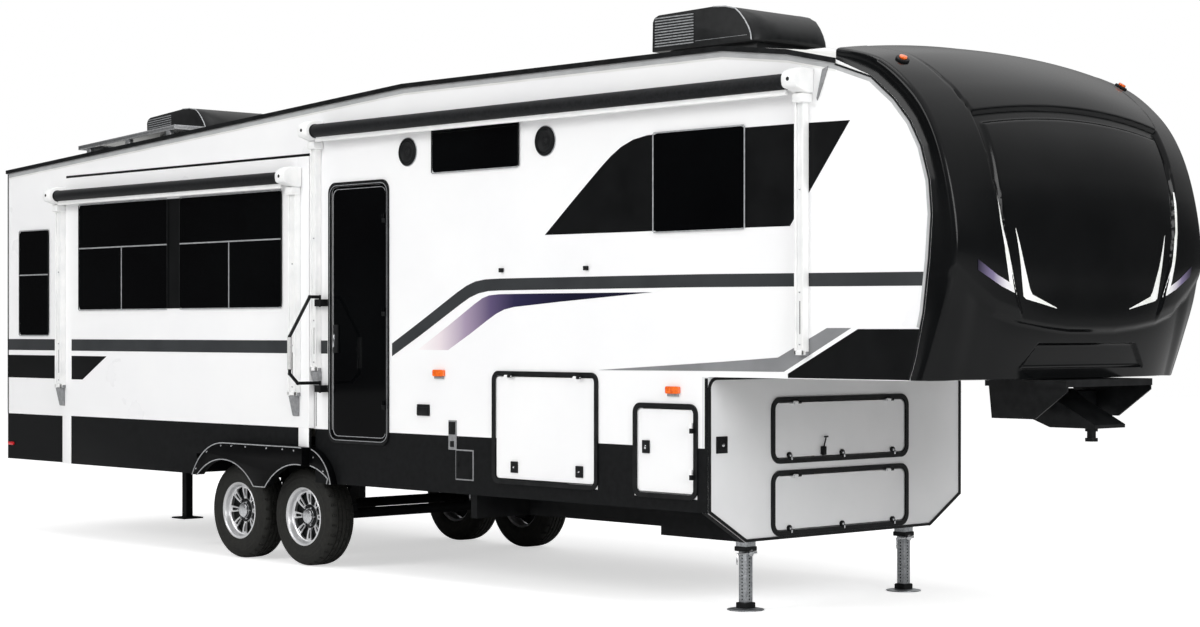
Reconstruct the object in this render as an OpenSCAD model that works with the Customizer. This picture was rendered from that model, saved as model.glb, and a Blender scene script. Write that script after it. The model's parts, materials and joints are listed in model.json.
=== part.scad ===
// Fifth wheel travel trailer: hollow body, front cap, slide-outs, doors, running gear.
// +X is forward, -Y is the curb side with the entry door, +Z is up, Z = 0 is the ground.

/* [Show] */
// Sub-part to show, or all

/* [Body] */
// Width over the side walls
body_w = 2440; // [2360:10:2540]
// Front face of the lower front box
front_x = 3230; // [3200:5:3260]
// Length of the body behind that face
body_len = 8330; // [8230:10:8380]
// Thickness of walls and floors
wall_t = 50; // [40:2:60]
// Height of the line where the wall meets the skirt
skirt_top = 1010; // [990:5:1030]
// Height of the skirt's lower edge
skirt_low = 623; // [600:5:660]
// Underside of the front overhang
deck_z = 1440; // [1430:5:1450]
// Roof edge height at the rear
roof_rear_z = 3085; // [3070:5:3100]
// Roof edge height along the middle
roof_mid_z = 3410; // [3390:5:3430]
// Rise of the roof crown over its edges
crown = 55; // [30:5:70]
// Thickness of the roof at its edges
roof_t = 70; // [60:5:90]

/* [Front cap] */
// Plan radius of the cap's face
cap_r = 7500; // [6500:100:9000]
// Shell thickness
cap_t = 40; // [30:2:50]

/* [Wheels] */
// Tyre outer diameter
tyre_d = 720; // [700:2:740]
// Tyre width
tyre_w = 225; // [205:5:235]
// Rim diameter over its lips
rim_d = 430; // [410:2:440]
// Front axle, measured back from the front box face
axle_back = 4150; // [4120:5:4180]
// Distance between the axles
axle_gap = 815; // [800:5:830]
// Distance between the tyre centre planes
track = 2110; // [2080:5:2130]

/* [Slide-outs] */
// Height of the slide-out openings' sill
slide_sill = 1025; // [1020:1:1030]
// Height of the slide-outs' flange top
slide_top = 2975; // [2960:5:2990]
// Room depth of the slide-outs
slide_depth = 760; // [700:10:780]
// Running gap round each slide-out
slide_gap = 14; // [10:1:20]
// Gap between a moving face and the wall behind it
face_gap = 7; // [6:1:10]

/* [Doors] */
// Entry door width
door_w = 615; // [595:5:625]
// Entry door height
door_h = 1780; // [1760:5:1800]
// Gap round every door leaf
leaf_gap = 7; // [6:1:10]
// Thickness of door leaves
leaf_t = 42; // [36:1:46]

/* [Hitch] */
// King pin neck radius
pin_r = 25.4; // [25:0.1:26]
// Coupling height, underside of the king pin plate
pin_plate_z = 1160; // [1150:5:1180]

/* [Hidden] */
$fn = 48;
half = body_w/2;
rear_x = front_x - body_len;
seat = 0.3;

// roof edge stations: distance from the front box face, height
roof_line = [[-body_len, roof_rear_z], [-2900, roof_mid_z], [120, roof_mid_z - 10],
  [640, 3335], [1000, 3255]];
// joint between wall and cap: distance from the front box face, height
cap_joint = [[1000, 3255], [1265, 3140], [1430, 3005], [1543, 2875], [1622, 2733],
  [1678, 2543], [1694, 2354], [1675, 2104], [1638, 1817], [1575, 1553], [1534, deck_z]];
// centre line of the cap's face: distance from the front box face, height
cap_line = [[1750, deck_z], [1797, 1600], [1868, 1850], [1925, 2030], [1962, 2180],
  [1966, 2350], [1938, 2580], [1885, 2780], [1805, 2940], [1690, 3090], [1515, 3232],
  [1338, 3320], [1000, 3400], [500, 3470], [0, 3490]];
nose_x = front_x + 1966;

// slide-outs: rear edge and front edge of the flange, from the front box face
curb_slide = [-body_len + 995, -3925];
off_slide = [-0.678*body_len, -2150];
flange_lap = 62;
flange_t = 44;
// windows of the curb wall: rear edge from the front box face, sill, width, height
curb_windows = [[-body_len + 212, 1681, 472, 880], [-2585, 2790, 881, 325],
  [-453, 2322, 754, 600]];
// windows of the off side wall
off_windows = [[-body_len + 430, 1950, 760, 560], [-453, 2322, 754, 600]];
// window of the rear wall: sill, width, height
rear_window = [1950, 1200, 600];
// windows of each slide-out: rear edge and width as shares of its flange, sill, height
slide_windows = slide_panes(curb_slide, [[0.0786, 0.3821, 1890, 850], [0.5138, 0.3886, 1890, 850]]);
off_slide_windows = slide_panes(off_slide, [[0.186, 0.343, 1890, 700], [0.614, 0.257, 1890, 700]]);
// width of the frame strip round each pane, hidden behind the glass
pane_lap = 25;

// entry door: hinge edge, sill
door_front = -3098;
door_sill = 955;
// baggage doors: rear edge, sill, width, height
bag_large = [-1926, 750, 938, 666];
bag_small = [-596, 732, 477, 506];
// storage doors of the front box: sill, height
store_upper = [933, 337];
store_lower = [487, 330];
store_w = 1252;
// stepped floor: riser behind the basement
riser_x = -2100;
deck_front = 1515;
// width of the door frames' face
frame_w = 30;
// frame rails: half spacing, underside; lower rails below the basement
rail_y = 870;
rail_z = 700;
rail_top = 850;
low_rail_y = 690;
low_rail_z = 465;
// tray below the front box: length, half width, underside
tray_run = 720;
tray_y = 895;
tray_z = 430;
// front edge of the skirts, where the walls reach down
skirt_end = -1250;

function fx(v) = front_x + v;
function slide_panes(s, t) = [for (p = t) [s[0] + p[0]*(s[1] - s[0]), p[2], p[1]*(s[1] - s[0]),
  p[3]]];

module bar(x0, x1, y0, y1, z0, z1) {
  translate([x0, y0, z0]) cube([x1 - x0, y1 - y0, z1 - z0]);
}

// rounded rectangle with its lower left corner at the origin
module rrect(w, h, r) {
  translate([r, 0]) square([w - 2*r, h]);
  translate([0, r]) square([w, h - 2*r]);
  for (p = [[r, r], [w - r, r], [r, h - r], [w - r, h - r]]) translate(p) circle(r);
}

// plate in the XZ plane: near face at y0, thickness t towards +Y
module xz_plate(x0, z0, w, h, y0, t, r) {
  translate([x0, y0 + t, z0]) rotate([90, 0, 0]) linear_extrude(t) rrect(w, h, r);
}

// plate in the YZ plane: rear face at x0, thickness t towards +X
module yz_plate(y0, z0, w, h, x0, t, r) {
  translate([x0, y0, z0]) rotate([90, 0, 90]) linear_extrude(t) rrect(w, h, r);
}

// side outline of the body above the skirt
module side_outline(lift = 0) {
  polygon(concat([[fx(-body_len), skirt_top], [front_x - wall_t, skirt_top],
    [front_x - wall_t, deck_z]],
    [for (i = [len(cap_joint) - 1:-1:1]) [fx(cap_joint[i][0]), cap_joint[i][1]]],
    [[fx(cap_joint[0][0]) + seat, cap_joint[0][1]],
      [fx(cap_joint[0][0]) + seat, cap_joint[0][1] + lift]],
    [for (i = [len(roof_line) - 2:-1:0]) [fx(roof_line[i][0]), roof_line[i][1] + lift]]));
}

module side_sheet(y0, t) {
  translate([0, y0 + t, 0]) rotate([90, 0, 0]) linear_extrude(t) side_outline(-roof_t);
}

module slide_hole(s, y0) {
  bar(fx(s[0] + flange_lap), fx(s[1] - flange_lap), y0 - 10, y0 + wall_t + 10,
    slide_sill - slide_gap, slide_top - flange_lap);
}

module wall_curb() {
  color("white") difference() {
    union() {
      side_sheet(-half, wall_t);
      bar(fx(skirt_end), front_x - wall_t, -half, -half + wall_t, skirt_low, skirt_top);
    }
    slide_hole(curb_slide, -half);
    for (w = curb_windows)
      bar(fx(w[0] + pane_lap), fx(w[0] + w[2] - pane_lap), -half - 10, -half + wall_t + 10, w[1] + pane_lap,
        w[1] + w[3] - pane_lap);
    bar(fx(door_front - door_w - leaf_gap), fx(door_front + leaf_gap), -half - 10,
      -half + wall_t + 10, door_sill - leaf_gap, door_sill + door_h + leaf_gap);
    for (b = [bag_large, bag_small])
      bar(fx(b[0] - leaf_gap), fx(b[0] + b[2] + leaf_gap), -half - 10, -half + wall_t + 10,
        b[1] - leaf_gap, b[1] + b[3] + leaf_gap);
  }
}

module wall_off() {
  color("white") difference() {
    union() {
      side_sheet(half - wall_t, wall_t);
      bar(fx(skirt_end), front_x - wall_t, half - wall_t, half, skirt_low, skirt_top);
    }
    slide_hole(off_slide, half - wall_t);
    for (w = off_windows)
      bar(fx(w[0] + pane_lap), fx(w[0] + w[2] - pane_lap), half - wall_t - 10, half + 10, w[1] + pane_lap,
        w[1] + w[3] - pane_lap);
  }
}

module wall_rear() {
  color("white") difference() {
    bar(rear_x, rear_x + wall_t, -half + wall_t, half - wall_t, skirt_top,
      roof_rear_z - roof_t);
    bar(rear_x - 10, rear_x + wall_t + 10, -rear_window[1]/2 + pane_lap,
      rear_window[1]/2 - pane_lap, rear_window[0] + pane_lap,
      rear_window[0] + rear_window[2] - pane_lap);
  }
}

// lower front box: chamfered front panel and the tray below the basement
module front_box() {
  color("gainsboro") {
    difference() {
      translate([front_x - wall_t + seat, 0, 0]) rotate([90, 0, 90])
        linear_extrude(wall_t - seat)
        polygon([[-tray_y, tray_z], [tray_y, tray_z], [half, skirt_low], [half, deck_z], [-half, deck_z],
          [-half, skirt_low]]);
      for (s = [store_upper, store_lower])
        bar(front_x - wall_t - 10, front_x + 10, -store_w/2 - leaf_gap, store_w/2 + leaf_gap,
          s[0] - leaf_gap, s[0] + s[1] + leaf_gap);
    }
    difference() {
      bar(fx(-tray_run), front_x - wall_t + 10, -tray_y, tray_y, tray_z, skirt_low + 60);
      bar(fx(-tray_run + 20), front_x - wall_t + 20, -tray_y + 20, tray_y - 20, tray_z + 15,
        skirt_low + 70);
      for (s = [-1, 1]) bar(fx(-tray_run) - 10, fx(-tray_run) + 30, s*low_rail_y - 30 - seat,
        s*low_rail_y + 30 + seat, low_rail_z - seat, skirt_low + 70);
      for (s = [-1, 1]) bar(fx(-leg_back) - 46, fx(-leg_back) + 46, s*leg_y - 46, s*leg_y + 46,
        400, 460);
    }
  }
}

module skirts() {
  color("black") {
    bar(rear_x, fx(curb_slide[0]) - face_gap, -half, -half + 20, skirt_low, skirt_top);
    difference() {
      bar(fx(curb_slide[1]) + face_gap, fx(skirt_end), -half, -half + 20, skirt_low, skirt_top - seat);
      bar(fx(door_front - door_w - leaf_gap), fx(door_front + leaf_gap), -half - 10,
        -half + 30, door_sill - leaf_gap, skirt_top + 10);
      for (b = [bag_large])
        bar(fx(b[0] - leaf_gap), fx(b[0] + b[2] + leaf_gap), -half - 10, -half + 30,
          b[1] - leaf_gap, skirt_top + 10);
    }
    difference() {
      bar(rear_x, fx(skirt_end), half - 20, half, skirt_low, skirt_top);
      bar(fx(-axle_back - axle_gap - 440), fx(-axle_back + 440), half - 30, half + 10,
        skirt_low - 10, 800);
    }
    difference() {
      bar(rear_x, rear_x + 20, -half + 20 + seat, half - 20 - seat, skirt_low, skirt_top);
      for (s = [-1, 1]) bar(rear_x - 10, rear_x + 30, s*rail_y - 31, s*rail_y + 31, rail_z - 1,
        rail_top + 1);
    }
  }
}

// stepped floor: main floor, riser, upper deck and basement floor
module floor_pan() {
  y = half - wall_t - seat;
  z = skirt_top - 10;
  back = fx(riser_x);
  color("dimgray") {
    bar(rear_x + wall_t + seat, back - seat, -y, y, z - 50, z);
    bar(back, back + 50, -y, y, skirt_low, deck_z);
    bar(back, fx(deck_front), -y, y, deck_z + seat, deck_z + wall_t);
    bar(back + 50 + seat, fx(-tray_run) - seat, -y, y, skirt_low, skirt_low + 30);
    for (share = [0.15, 0.4, 0.6, 0.85]) {
      xa = fx(curb_slide[0] + share*(curb_slide[1] - curb_slide[0]));
      xb = fx(off_slide[0] + share*(off_slide[1] - off_slide[0]));
      bar(xa, xa + 60, -y, -half + slide_depth, z + seat, slide_sill - seat);
      bar(xb, xb + 60, half - slide_depth, y, z + seat, slide_sill - seat);
    }
  }
}

// crowned roof section across the body, edge height at the origin
module crown_section(t) {
  rr = (half*half + crown*crown)/(2*crown);
  intersection() {
    translate([0, crown - rr]) circle(rr, $fn = 360);
    translate([-half, -t]) square([body_w, t + crown]);
  }
}

function crown_drop(y) = let (rr = (half*half + crown*crown)/(2*crown)) rr - sqrt(rr*rr - y*y);
function seg_slope(i) = atan2(roof_line[i + 1][1] - roof_line[i][1],
  roof_line[i + 1][0] - roof_line[i][0]);
function seg_z(i, d) = roof_line[i][1] + (d - roof_line[i][0])*tan(seg_slope(i));

// places children on the roof's crown at distance d on segment i
module on_roof(i, d) {
  translate([fx(d), 0, seg_z(i, d)]) rotate([0, -seg_slope(i), 0])
    translate([0, 0, crown + seat]) children();
}

module roof() {
  color("whitesmoke") for (i = [0:len(roof_line) - 2]) {
    a = roof_line[i];
    b = roof_line[i + 1];
    run = b[0] - a[0];
    rise = b[1] - a[1];
    difference() {
      translate([fx(a[0]), 0, a[1]]) rotate([0, -seg_slope(i), 0])
        translate([-60, 0, 0]) rotate([90, 0, 90])
        linear_extrude(sqrt(run*run + rise*rise) + 120)
        crown_section((roof_t - seat)*cos(seg_slope(i)));
      translate([fx(a[0]) - 500 + (i > 0 ? seat : 0), -half - 10, a[1] - 600])
        cube([500, body_w + 20, 1200]);
      translate([fx(b[0]), -half - 10, b[1] - 600]) cube([500, body_w + 20, 1200]);
    }
  }
}

module roof_rails() {
  color("black") for (s = [-1, 1])
    translate([0, s > 0 ? half + 22 : -half - seat, 0]) rotate([90, 0, 0])
      linear_extrude(22 - seat)
      polygon(concat([for (p = roof_line) [fx(p[0]), p[1] + 8]],
        [for (i = [len(roof_line) - 1:-1:0]) [fx(roof_line[i][0]), roof_line[i][1] - 22]]));
}

// side outline of the cap's face, revolved about an upright axis behind it
module cap_block(inset) {
  r0 = cap_r;
  translate([nose_x - r0, 0, 0]) rotate([0, 0, -12]) rotate_extrude(angle = 24, $fn = 360)
    polygon(concat([[r0 - 1966, deck_z + inset]],
      [for (p = cap_line) [r0 - 1966 + p[0] - inset, max(p[1] - inset*0.8, deck_z + inset)]],
      [[r0 - 1966, 3200 - inset]]));
}

// crowned section of the cap, seen along its length
module cap_crown(inset) {
  rise = 95;
  rr = (half*half + rise*rise)/(2*rise);
  intersection() {
    translate([0, 3420 - rr]) circle(rr - inset, $fn = 360);
    translate([-half + inset, deck_z - 20]) square([body_w - 2*inset, 2100]);
  }
}

module front_cap() {
  color("black") difference() {
    intersection() {
      cap_block(0);
      translate([fx(900), 0, 0]) rotate([90, 0, 90]) linear_extrude(1200) cap_crown(0);
    }
    intersection() {
      cap_block(cap_t);
      translate([fx(800), 0, 0]) rotate([90, 0, 90]) linear_extrude(1300) cap_crown(cap_t);
    }
    translate([0, half + 10, 0]) rotate([90, 0, 0]) linear_extrude(body_w + 20)
      polygon(concat([[fx(0), deck_z - 20], [fx(0), 3600], [fx(1000) + seat, 3600]],
        [for (p = cap_joint) [fx(p[0]) + seat, p[1]]], [[fx(1534) + seat, deck_z - 20]]));
  }
}

module pane(w, y0) {
  xz_plate(fx(w[0]), w[1], w[2], w[3], y0, 8, 30);
}

module window_panes() {
  color("black") {
    for (w = curb_windows) pane(w, -half - 8);
    for (w = off_windows) pane(w, half);
    yz_plate(-rear_window[1]/2, rear_window[0], rear_window[1], rear_window[2], rear_x - 8, 8,
      30);
  }
}

// roof air conditioners: roof segment, middle of the unit
ac_places = [[1, -1270], [0, -body_len + 900]];
ac_w = 720;
module air_conditioners() {
  color("black") for (p = ac_places) on_roof(p[0], p[1]) {
    translate([-330, -ac_w/2 + 20, 0]) cube([660, ac_w - 40, 62]);
    translate([-430, ac_w/2, 60]) rotate([90, 0, 0]) linear_extrude(ac_w)
      polygon([[0, 0], [860, 0], [1120, 40], [1140, 80], [900, 255], [560, 300],
        [250, 300], [60, 240], [0, 120]]);
  }
}

// solar panel: length, inner and outer edge across the roof, height of its frame
solar = [1700, 440, 900, 35];
solar_rise = 30;
module solar_panel() {
  color("silver") on_roof(0, -body_len + 400) {
    translate([0, -solar[2], solar_rise]) cube([solar[0], solar[2] - solar[1], solar[3]]);
    for (x = [100, solar[0]/2 - 30, solar[0] - 160], y = [solar[1] + 20, solar[2] - 60])
      translate([x, -y - 40, -crown_drop(y)]) cube([60, 40, solar_rise + 1 + crown_drop(y)]);
  }
}

// roof vents: roof segment, rear edge, edge towards the curb side
vent_w = 420;
vents = [[0, -0.672*body_len, 350], [1, -300, -250], [0, -4300, -500]];
module roof_vents() {
  color("white") for (p = vents) on_roof(p[0], p[1])
    translate([0, p[2], -crown_drop(max(p[2], -p[2] - vent_w, 0))]) cube([vent_w, vent_w, 110]);
}

// depth of the awnings' end heads
head_d = 168;

// awning: roller, end heads and arms on the side at y0, from x0 to x1
module awning_set(x0, x1, z, y0, arm_low, roller_r, arm_w) {
  translate([x0 + seat, y0 - 90, z]) rotate([0, 90, 0])
    cylinder(r = roller_r, h = x1 - x0 - 2*seat);
  for (x = [x0 - 110, x1]) {
    bar(x, x + 110, y0 - head_d, y0 - seat, z - 70, z + 75);
    bar(x, x + arm_w, y0 - 50, y0 - seat, arm_low, z - 70 - seat);
  }
}

module patio_awning() {
  color("white") awning_set(fx(door_front - door_w - 95), fx(730), roof_mid_z - 265, -half,
    deck_z - 10, 45, 70);
}

module slide_topper(s) {
  awning_set(fx(s[0] + 65), fx(s[1] - 195), slide_top - 150, -half - face_gap - flange_t,
    slide_sill + 225, 42, 90);
}

module slide_curb_awning() {
  color("white") slide_topper(curb_slide);
}

module slide_off_awning() {
  color("white") mirror([0, 1, 0]) slide_topper(off_slide);
}

// slide-out room: flange outside the wall, box passing through it
module slide_room(s, side, panes) {
  y_in = half + face_gap;
  mirror([0, side > 0 ? 0 : 1, 0]) difference() {
    union() {
      bar(fx(s[0]), fx(s[1]), y_in, y_in + flange_t, slide_sill - 8, slide_top);
      bar(fx(s[0] + flange_lap + slide_gap), fx(s[1] - flange_lap - slide_gap),
        half - slide_depth, y_in + 10, slide_sill, slide_top - flange_lap - slide_gap);
    }
    bar(fx(s[0] + flange_lap + slide_gap + wall_t), fx(s[1] - flange_lap - slide_gap - wall_t),
      half - slide_depth - 10, y_in, slide_sill + wall_t,
      slide_top - flange_lap - slide_gap - wall_t);
    for (w = panes)
      bar(fx(w[0] + pane_lap), fx(w[0] + w[2] - pane_lap), y_in - 10, y_in + 60, w[1] + pane_lap,
        w[1] + w[3] - pane_lap);
  }
}

module slide_curb_box() {
  color("white") slide_room(curb_slide, -1, slide_windows);
}

module slide_curb_glass() {
  color("black") for (w = slide_windows) pane(w, -half - face_gap - flange_t - 8);
}

module slide_off_box() {
  color("white") slide_room(off_slide, 1, off_slide_windows);
}

module slide_off_glass() {
  color("black") for (w = off_slide_windows) pane(w, half + face_gap + flange_t);
}

module slide_curb_skirt() {
  color("black") {
    difference() {
      bar(fx(curb_slide[0]), fx(curb_slide[1]), -half - face_gap - flange_t,
        -half - face_gap - 22,
        skirt_low, slide_sill - 8);
      bar(fx(-axle_back - axle_gap - 400), fx(curb_slide[1]) + 10, -half - 100, -half + 10,
        skirt_low - 10, 780);
    }
    fender_arch(-axle_back - axle_gap - 440, curb_slide[1], -half - face_gap - 110, 70);
  }
}

// wheel arch moulding between two stations
module fender_arch(x0, x1, y0, depth) {
  intersection() {
    bar(fx(x0), fx(x1), y0, y0 + depth, skirt_low - 10, 900);
    difference() {
      translate([0, y0 + depth, 0]) rotate([90, 0, 0]) linear_extrude(depth)
        polygon([[fx(-axle_back - axle_gap - 440), skirt_low],
          [fx(-axle_back - axle_gap - 200), 830], [fx(-axle_back - axle_gap), 880],
          [fx(-axle_back), 880], [fx(-axle_back + 240), 830], [fx(-axle_back + 440), skirt_low]]);
      for (a = [0, axle_gap]) translate([fx(-axle_back - a), y0 - 10, tyre_d/2])
        rotate([-90, 0, 0]) cylinder(r = tyre_d/2 + 45, h = depth + 20);
    }
  }
}

module wall_fenders() {
  color("black") {
    fender_arch(curb_slide[1] + face_gap, -axle_back + 440, -half - 60, 60 - seat);
    mirror([0, 1, 0]) fender_arch(-axle_back - axle_gap - 440, -axle_back + 440, -half - 60,
      60 - seat);
  }
}

// crossmembers, as distances from the front box face
cross_x = [-body_len + 430, -body_len + 1730, -body_len + 2630, -3300, -2700];
// spring hangers each side of an axle
hanger_x = 205;
hanger_z = 570;

module chassis() {
  z1 = skirt_top - 60 - seat;
  back = fx(riser_x) - 120;
  color("dimgray") {
    for (s = [-1, 1]) {
      bar(rear_x - 2 + seat, back - seat, s*rail_y - 30, s*rail_y + 30, rail_z, rail_top - seat);
      bar(back + 60 + seat, fx(-60), s*low_rail_y - 30, s*low_rail_y + 30, low_rail_z,
        skirt_low - seat);
      for (a = [0, axle_gap], e = [-hanger_x, hanger_x])
        bar(fx(-axle_back - a + e) - 30, fx(-axle_back - a + e) + 30, s*rail_y - 30,
          s*rail_y + 30, hanger_z, rail_z - seat);
    }
    bar(back, back + 60, -half + 30, half - 30, low_rail_z, z1);
    for (x = cross_x) bar(fx(x), fx(x) + 60, -half + 60, half - 60, rail_top, z1);
    bar(rear_x - 96, rear_x - 2, -half + 100, half - 100, rail_z, rail_z + 100);
  }
}

spindle_r = 30;
drum_r = 130;
axle_r = 38;
spring_t = 50;
module axles() {
  z = tyre_d/2;
  drum = track/2 - 100;
  color("dimgray") for (a = [0, axle_gap]) translate([fx(-axle_back - a), 0, z]) {
    translate([0, -drum + seat, 0]) rotate([-90, 0, 0]) cylinder(r = axle_r, h = 2*(drum - seat));
    for (s = [-1, 1]) {
      translate([0, s*drum, 0]) rotate([s*-90, 0, 0]) {
        cylinder(r = drum_r, h = 55);
        cylinder(r = spindle_r, h = 130);
      }
      bar(-hanger_x - 30, hanger_x + 30, s*rail_y - 30, s*rail_y + 30, axle_r + seat,
        axle_r + spring_t);
      for (e = [-hanger_x, hanger_x])
        bar(e - 12, e + 12, s*rail_y - 30, s*rail_y + 30, axle_r + spring_t + seat,
          hanger_z - z - seat);
    }
  }
}

module tyre(y, a) {
  color("black") translate([fx(-axle_back - a), y - tyre_w/2, tyre_d/2]) rotate([-90, 0, 0])
    rotate_extrude($fn = 90) translate([0, 0])
    polygon([[rim_d/2 - 12, 20], [rim_d/2, 20], [rim_d/2 + 4, 8], [rim_d/2 + 30, 4], [tyre_d/2 - 60, 0], [tyre_d/2 - 18, 16],
      [tyre_d/2, 34], [tyre_d/2, tyre_w - 34], [tyre_d/2 - 18, tyre_w - 16],
      [tyre_d/2 - 60, tyre_w], [rim_d/2 + 30, tyre_w - 4], [rim_d/2 + 4, tyre_w - 8],
      [rim_d/2, tyre_w - 20], [rim_d/2 - 12, tyre_w - 20]]);
}

module rim(y, a, side) {
  color("silver") translate([fx(-axle_back - a), y, tyre_d/2]) rotate([side < 0 ? 90 : -90, 0, 0])
    rotate_extrude($fn = 90)
    polygon([[spindle_r + seat, -25], [80, -25], [80, 10], [180, 20], [rim_d/2 - 32, -10],
      [rim_d/2 - 32, -tyre_w/2 + 26], [rim_d/2 - 12 - seat, -tyre_w/2 + 20],
      [rim_d/2 - 12 - seat, tyre_w/2 - 20], [rim_d/2, tyre_w/2 - 20 + seat],
      [rim_d/2, tyre_w/2 - 8], [rim_d/2 - 26, tyre_w/2 - 14], [190, 45], [90, 40], [60, 70],
      [0, 75], [0, 40], [spindle_r + seat, 40]]);
}

module tyre_fr() { tyre(-track/2, 0); }
module tyre_rr() { tyre(-track/2, axle_gap); }
module tyre_fl() { tyre(track/2, 0); }
module tyre_rl() { tyre(track/2, axle_gap); }
module rim_fr() { rim(-track/2, 0, -1); }
module rim_rr() { rim(-track/2, axle_gap, -1); }
module rim_fl() { rim(track/2, 0, 1); }
module rim_rl() { rim(track/2, axle_gap, 1); }

// hinge knuckles, pin along Z, leaf towards -X, outside towards -Y
hinge_out = 30;
hinge_r = 9;
hinge_pin_r = 5;
hinge_h = 30;

module leaf_knuckle() {
  cylinder(r = hinge_r, h = hinge_h);
  translate([0, 0, -hinge_h]) cylinder(r = hinge_pin_r, h = hinge_h + 1);
  translate([-12, -hinge_r + 2, 0]) cube([12 - leaf_gap/2 - 1, hinge_out + hinge_r - 1, hinge_h]);
  translate([-9, -hinge_r + 2, 0]) cube([8, 14, hinge_h]);
}

module frame_knuckle() {
  translate([0, 0, -hinge_h - 1]) difference() {
    union() {
      cylinder(r = hinge_r, h = hinge_h);
      translate([leaf_gap/2 + 1, -hinge_r + 2, 0]) cube([9, hinge_out - 12 + hinge_r, hinge_h]);
    }
    translate([0, 0, -5]) cylinder(r = hinge_pin_r + seat, h = hinge_h + 10);
  }
}

// hinge places: vertical ones of the side doors
module at_side_hinges(x1, zs) {
  for (z = zs) translate([fx(x1) + leaf_gap/2, -half - hinge_out, z]) children();
}

// along the top edge of a side door
module at_top_hinges(xs, z1) {
  for (x = xs) translate([fx(x), -half - hinge_out, z1 + leaf_gap/2]) rotate([0, -90, 0])
    children();
}

// along the top edge of a storage door in the front box
module at_front_hinges(ys, z1) {
  for (y = ys) translate([front_x + hinge_out, y, z1 + leaf_gap/2]) rotate([0, 0, 90])
    rotate([0, -90, 0]) children();
}

entry_hinges = [1200, 1850, 2500];
small_hinges = [850, 1130];
large_hinges = [-1780, -1120];
store_hinges = [-450, 450];

module entry_door() {
  color("black") {
    xz_plate(fx(door_front - door_w), door_sill, door_w, door_h, -half, leaf_t, 40);
    at_side_hinges(door_front, entry_hinges) leaf_knuckle();
  }
}

module baggage_door_large() {
  color("white") {
    xz_plate(fx(bag_large[0]), bag_large[1], bag_large[2], bag_large[3], -half, leaf_t, 25);
    at_top_hinges(large_hinges, bag_large[1] + bag_large[3]) leaf_knuckle();
  }
}

module baggage_door_small() {
  color("white") {
    xz_plate(fx(bag_small[0]), bag_small[1], bag_small[2], bag_small[3], -half, leaf_t, 25);
    at_side_hinges(bag_small[0] + bag_small[2], small_hinges) leaf_knuckle();
  }
}

module storage_door(s) {
  yz_plate(-store_w/2, s[0], store_w, s[1], front_x - leaf_t, leaf_t, 40);
  at_front_hinges(store_hinges, s[0] + s[1]) leaf_knuckle();
}

module storage_door_upper() {
  color("gainsboro") storage_door(store_upper);
}

module storage_door_lower() {
  color("gainsboro") storage_door(store_lower);
}

// assist handle: pivot line, bracket heights, tube path outward and up
handle_x = -3803;
handle_y = 45;
handle_low = 1302;
handle_high = 1917;
handle_d = 265;
handle_path = [[0, handle_low + 42], [195, handle_low + 42], [handle_d, handle_low + 110],
  [handle_d, handle_high - 240], [90, handle_high + 42], [0, handle_high + 42]];

module handle_tube(a, b, r) {
  run = b[0] - a[0];
  rise = b[1] - a[1];
  translate([0, -a[0], a[1]]) rotate([atan2(run, rise), 0, 0])
    cylinder(r = r, h = sqrt(run*run + rise*rise));
}

module assist_handle() {
  color("black") translate([fx(handle_x), -half - handle_y, 0]) {
    for (i = [0:len(handle_path) - 2]) handle_tube(handle_path[i], handle_path[i + 1], 12);
    for (i = [1:len(handle_path) - 2]) translate([0, -handle_path[i][0], handle_path[i][1]])
      sphere(r = 14);
    for (z = [handle_low, handle_high]) translate([0, 0, z - 30]) cylinder(r = 8, h = 86);
    translate([0, -handle_d, handle_low + 140]) cylinder(r = 17, h = 230);
  }
}

// frame round a door opening in a side wall
module side_frame(x0, z0, w, h, r) {
  o = leaf_gap + frame_w;
  translate([0, -half - seat, 0]) rotate([90, 0, 0]) linear_extrude(12) difference() {
    translate([fx(x0) - o, z0 - o]) rrect(w + 2*o, h + 2*o, r + o);
    translate([fx(x0) - leaf_gap, z0 - leaf_gap])
      rrect(w + 2*leaf_gap, h + 2*leaf_gap, r + leaf_gap);
  }
}

module front_frame(z0, h, r) {
  o = leaf_gap + frame_w;
  translate([front_x + seat, 0, 0]) rotate([90, 0, 90]) linear_extrude(12) difference() {
    translate([-store_w/2 - o, z0 - o]) rrect(store_w + 2*o, h + 2*o, r + o);
    translate([-store_w/2 - leaf_gap, z0 - leaf_gap])
      rrect(store_w + 2*leaf_gap, h + 2*leaf_gap, r + leaf_gap);
  }
}

module door_frames() {
  color("black") {
    side_frame(door_front - door_w, door_sill, door_w, door_h, 40);
    side_frame(bag_large[0], bag_large[1], bag_large[2], bag_large[3], 25);
    side_frame(bag_small[0], bag_small[1], bag_small[2], bag_small[3], 25);
    for (s = [store_upper, store_lower]) {
      front_frame(s[0], s[1], 40);
      at_front_hinges(store_hinges, s[0] + s[1]) frame_knuckle();
    }
    at_side_hinges(door_front, entry_hinges) frame_knuckle();
    at_side_hinges(bag_small[0] + bag_small[2], small_hinges) frame_knuckle();
    at_top_hinges(large_hinges, bag_large[1] + bag_large[3]) frame_knuckle();
    for (z = [handle_low, handle_high]) difference() {
      bar(fx(handle_x) - 36, fx(handle_x) + 36, -half - handle_y - 22, -half - seat, z - 25, z + 25);
      translate([fx(handle_x), -half - handle_y, z - 40]) cylinder(r = 8 + seat, h = 80);
    }
  }
}

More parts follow.
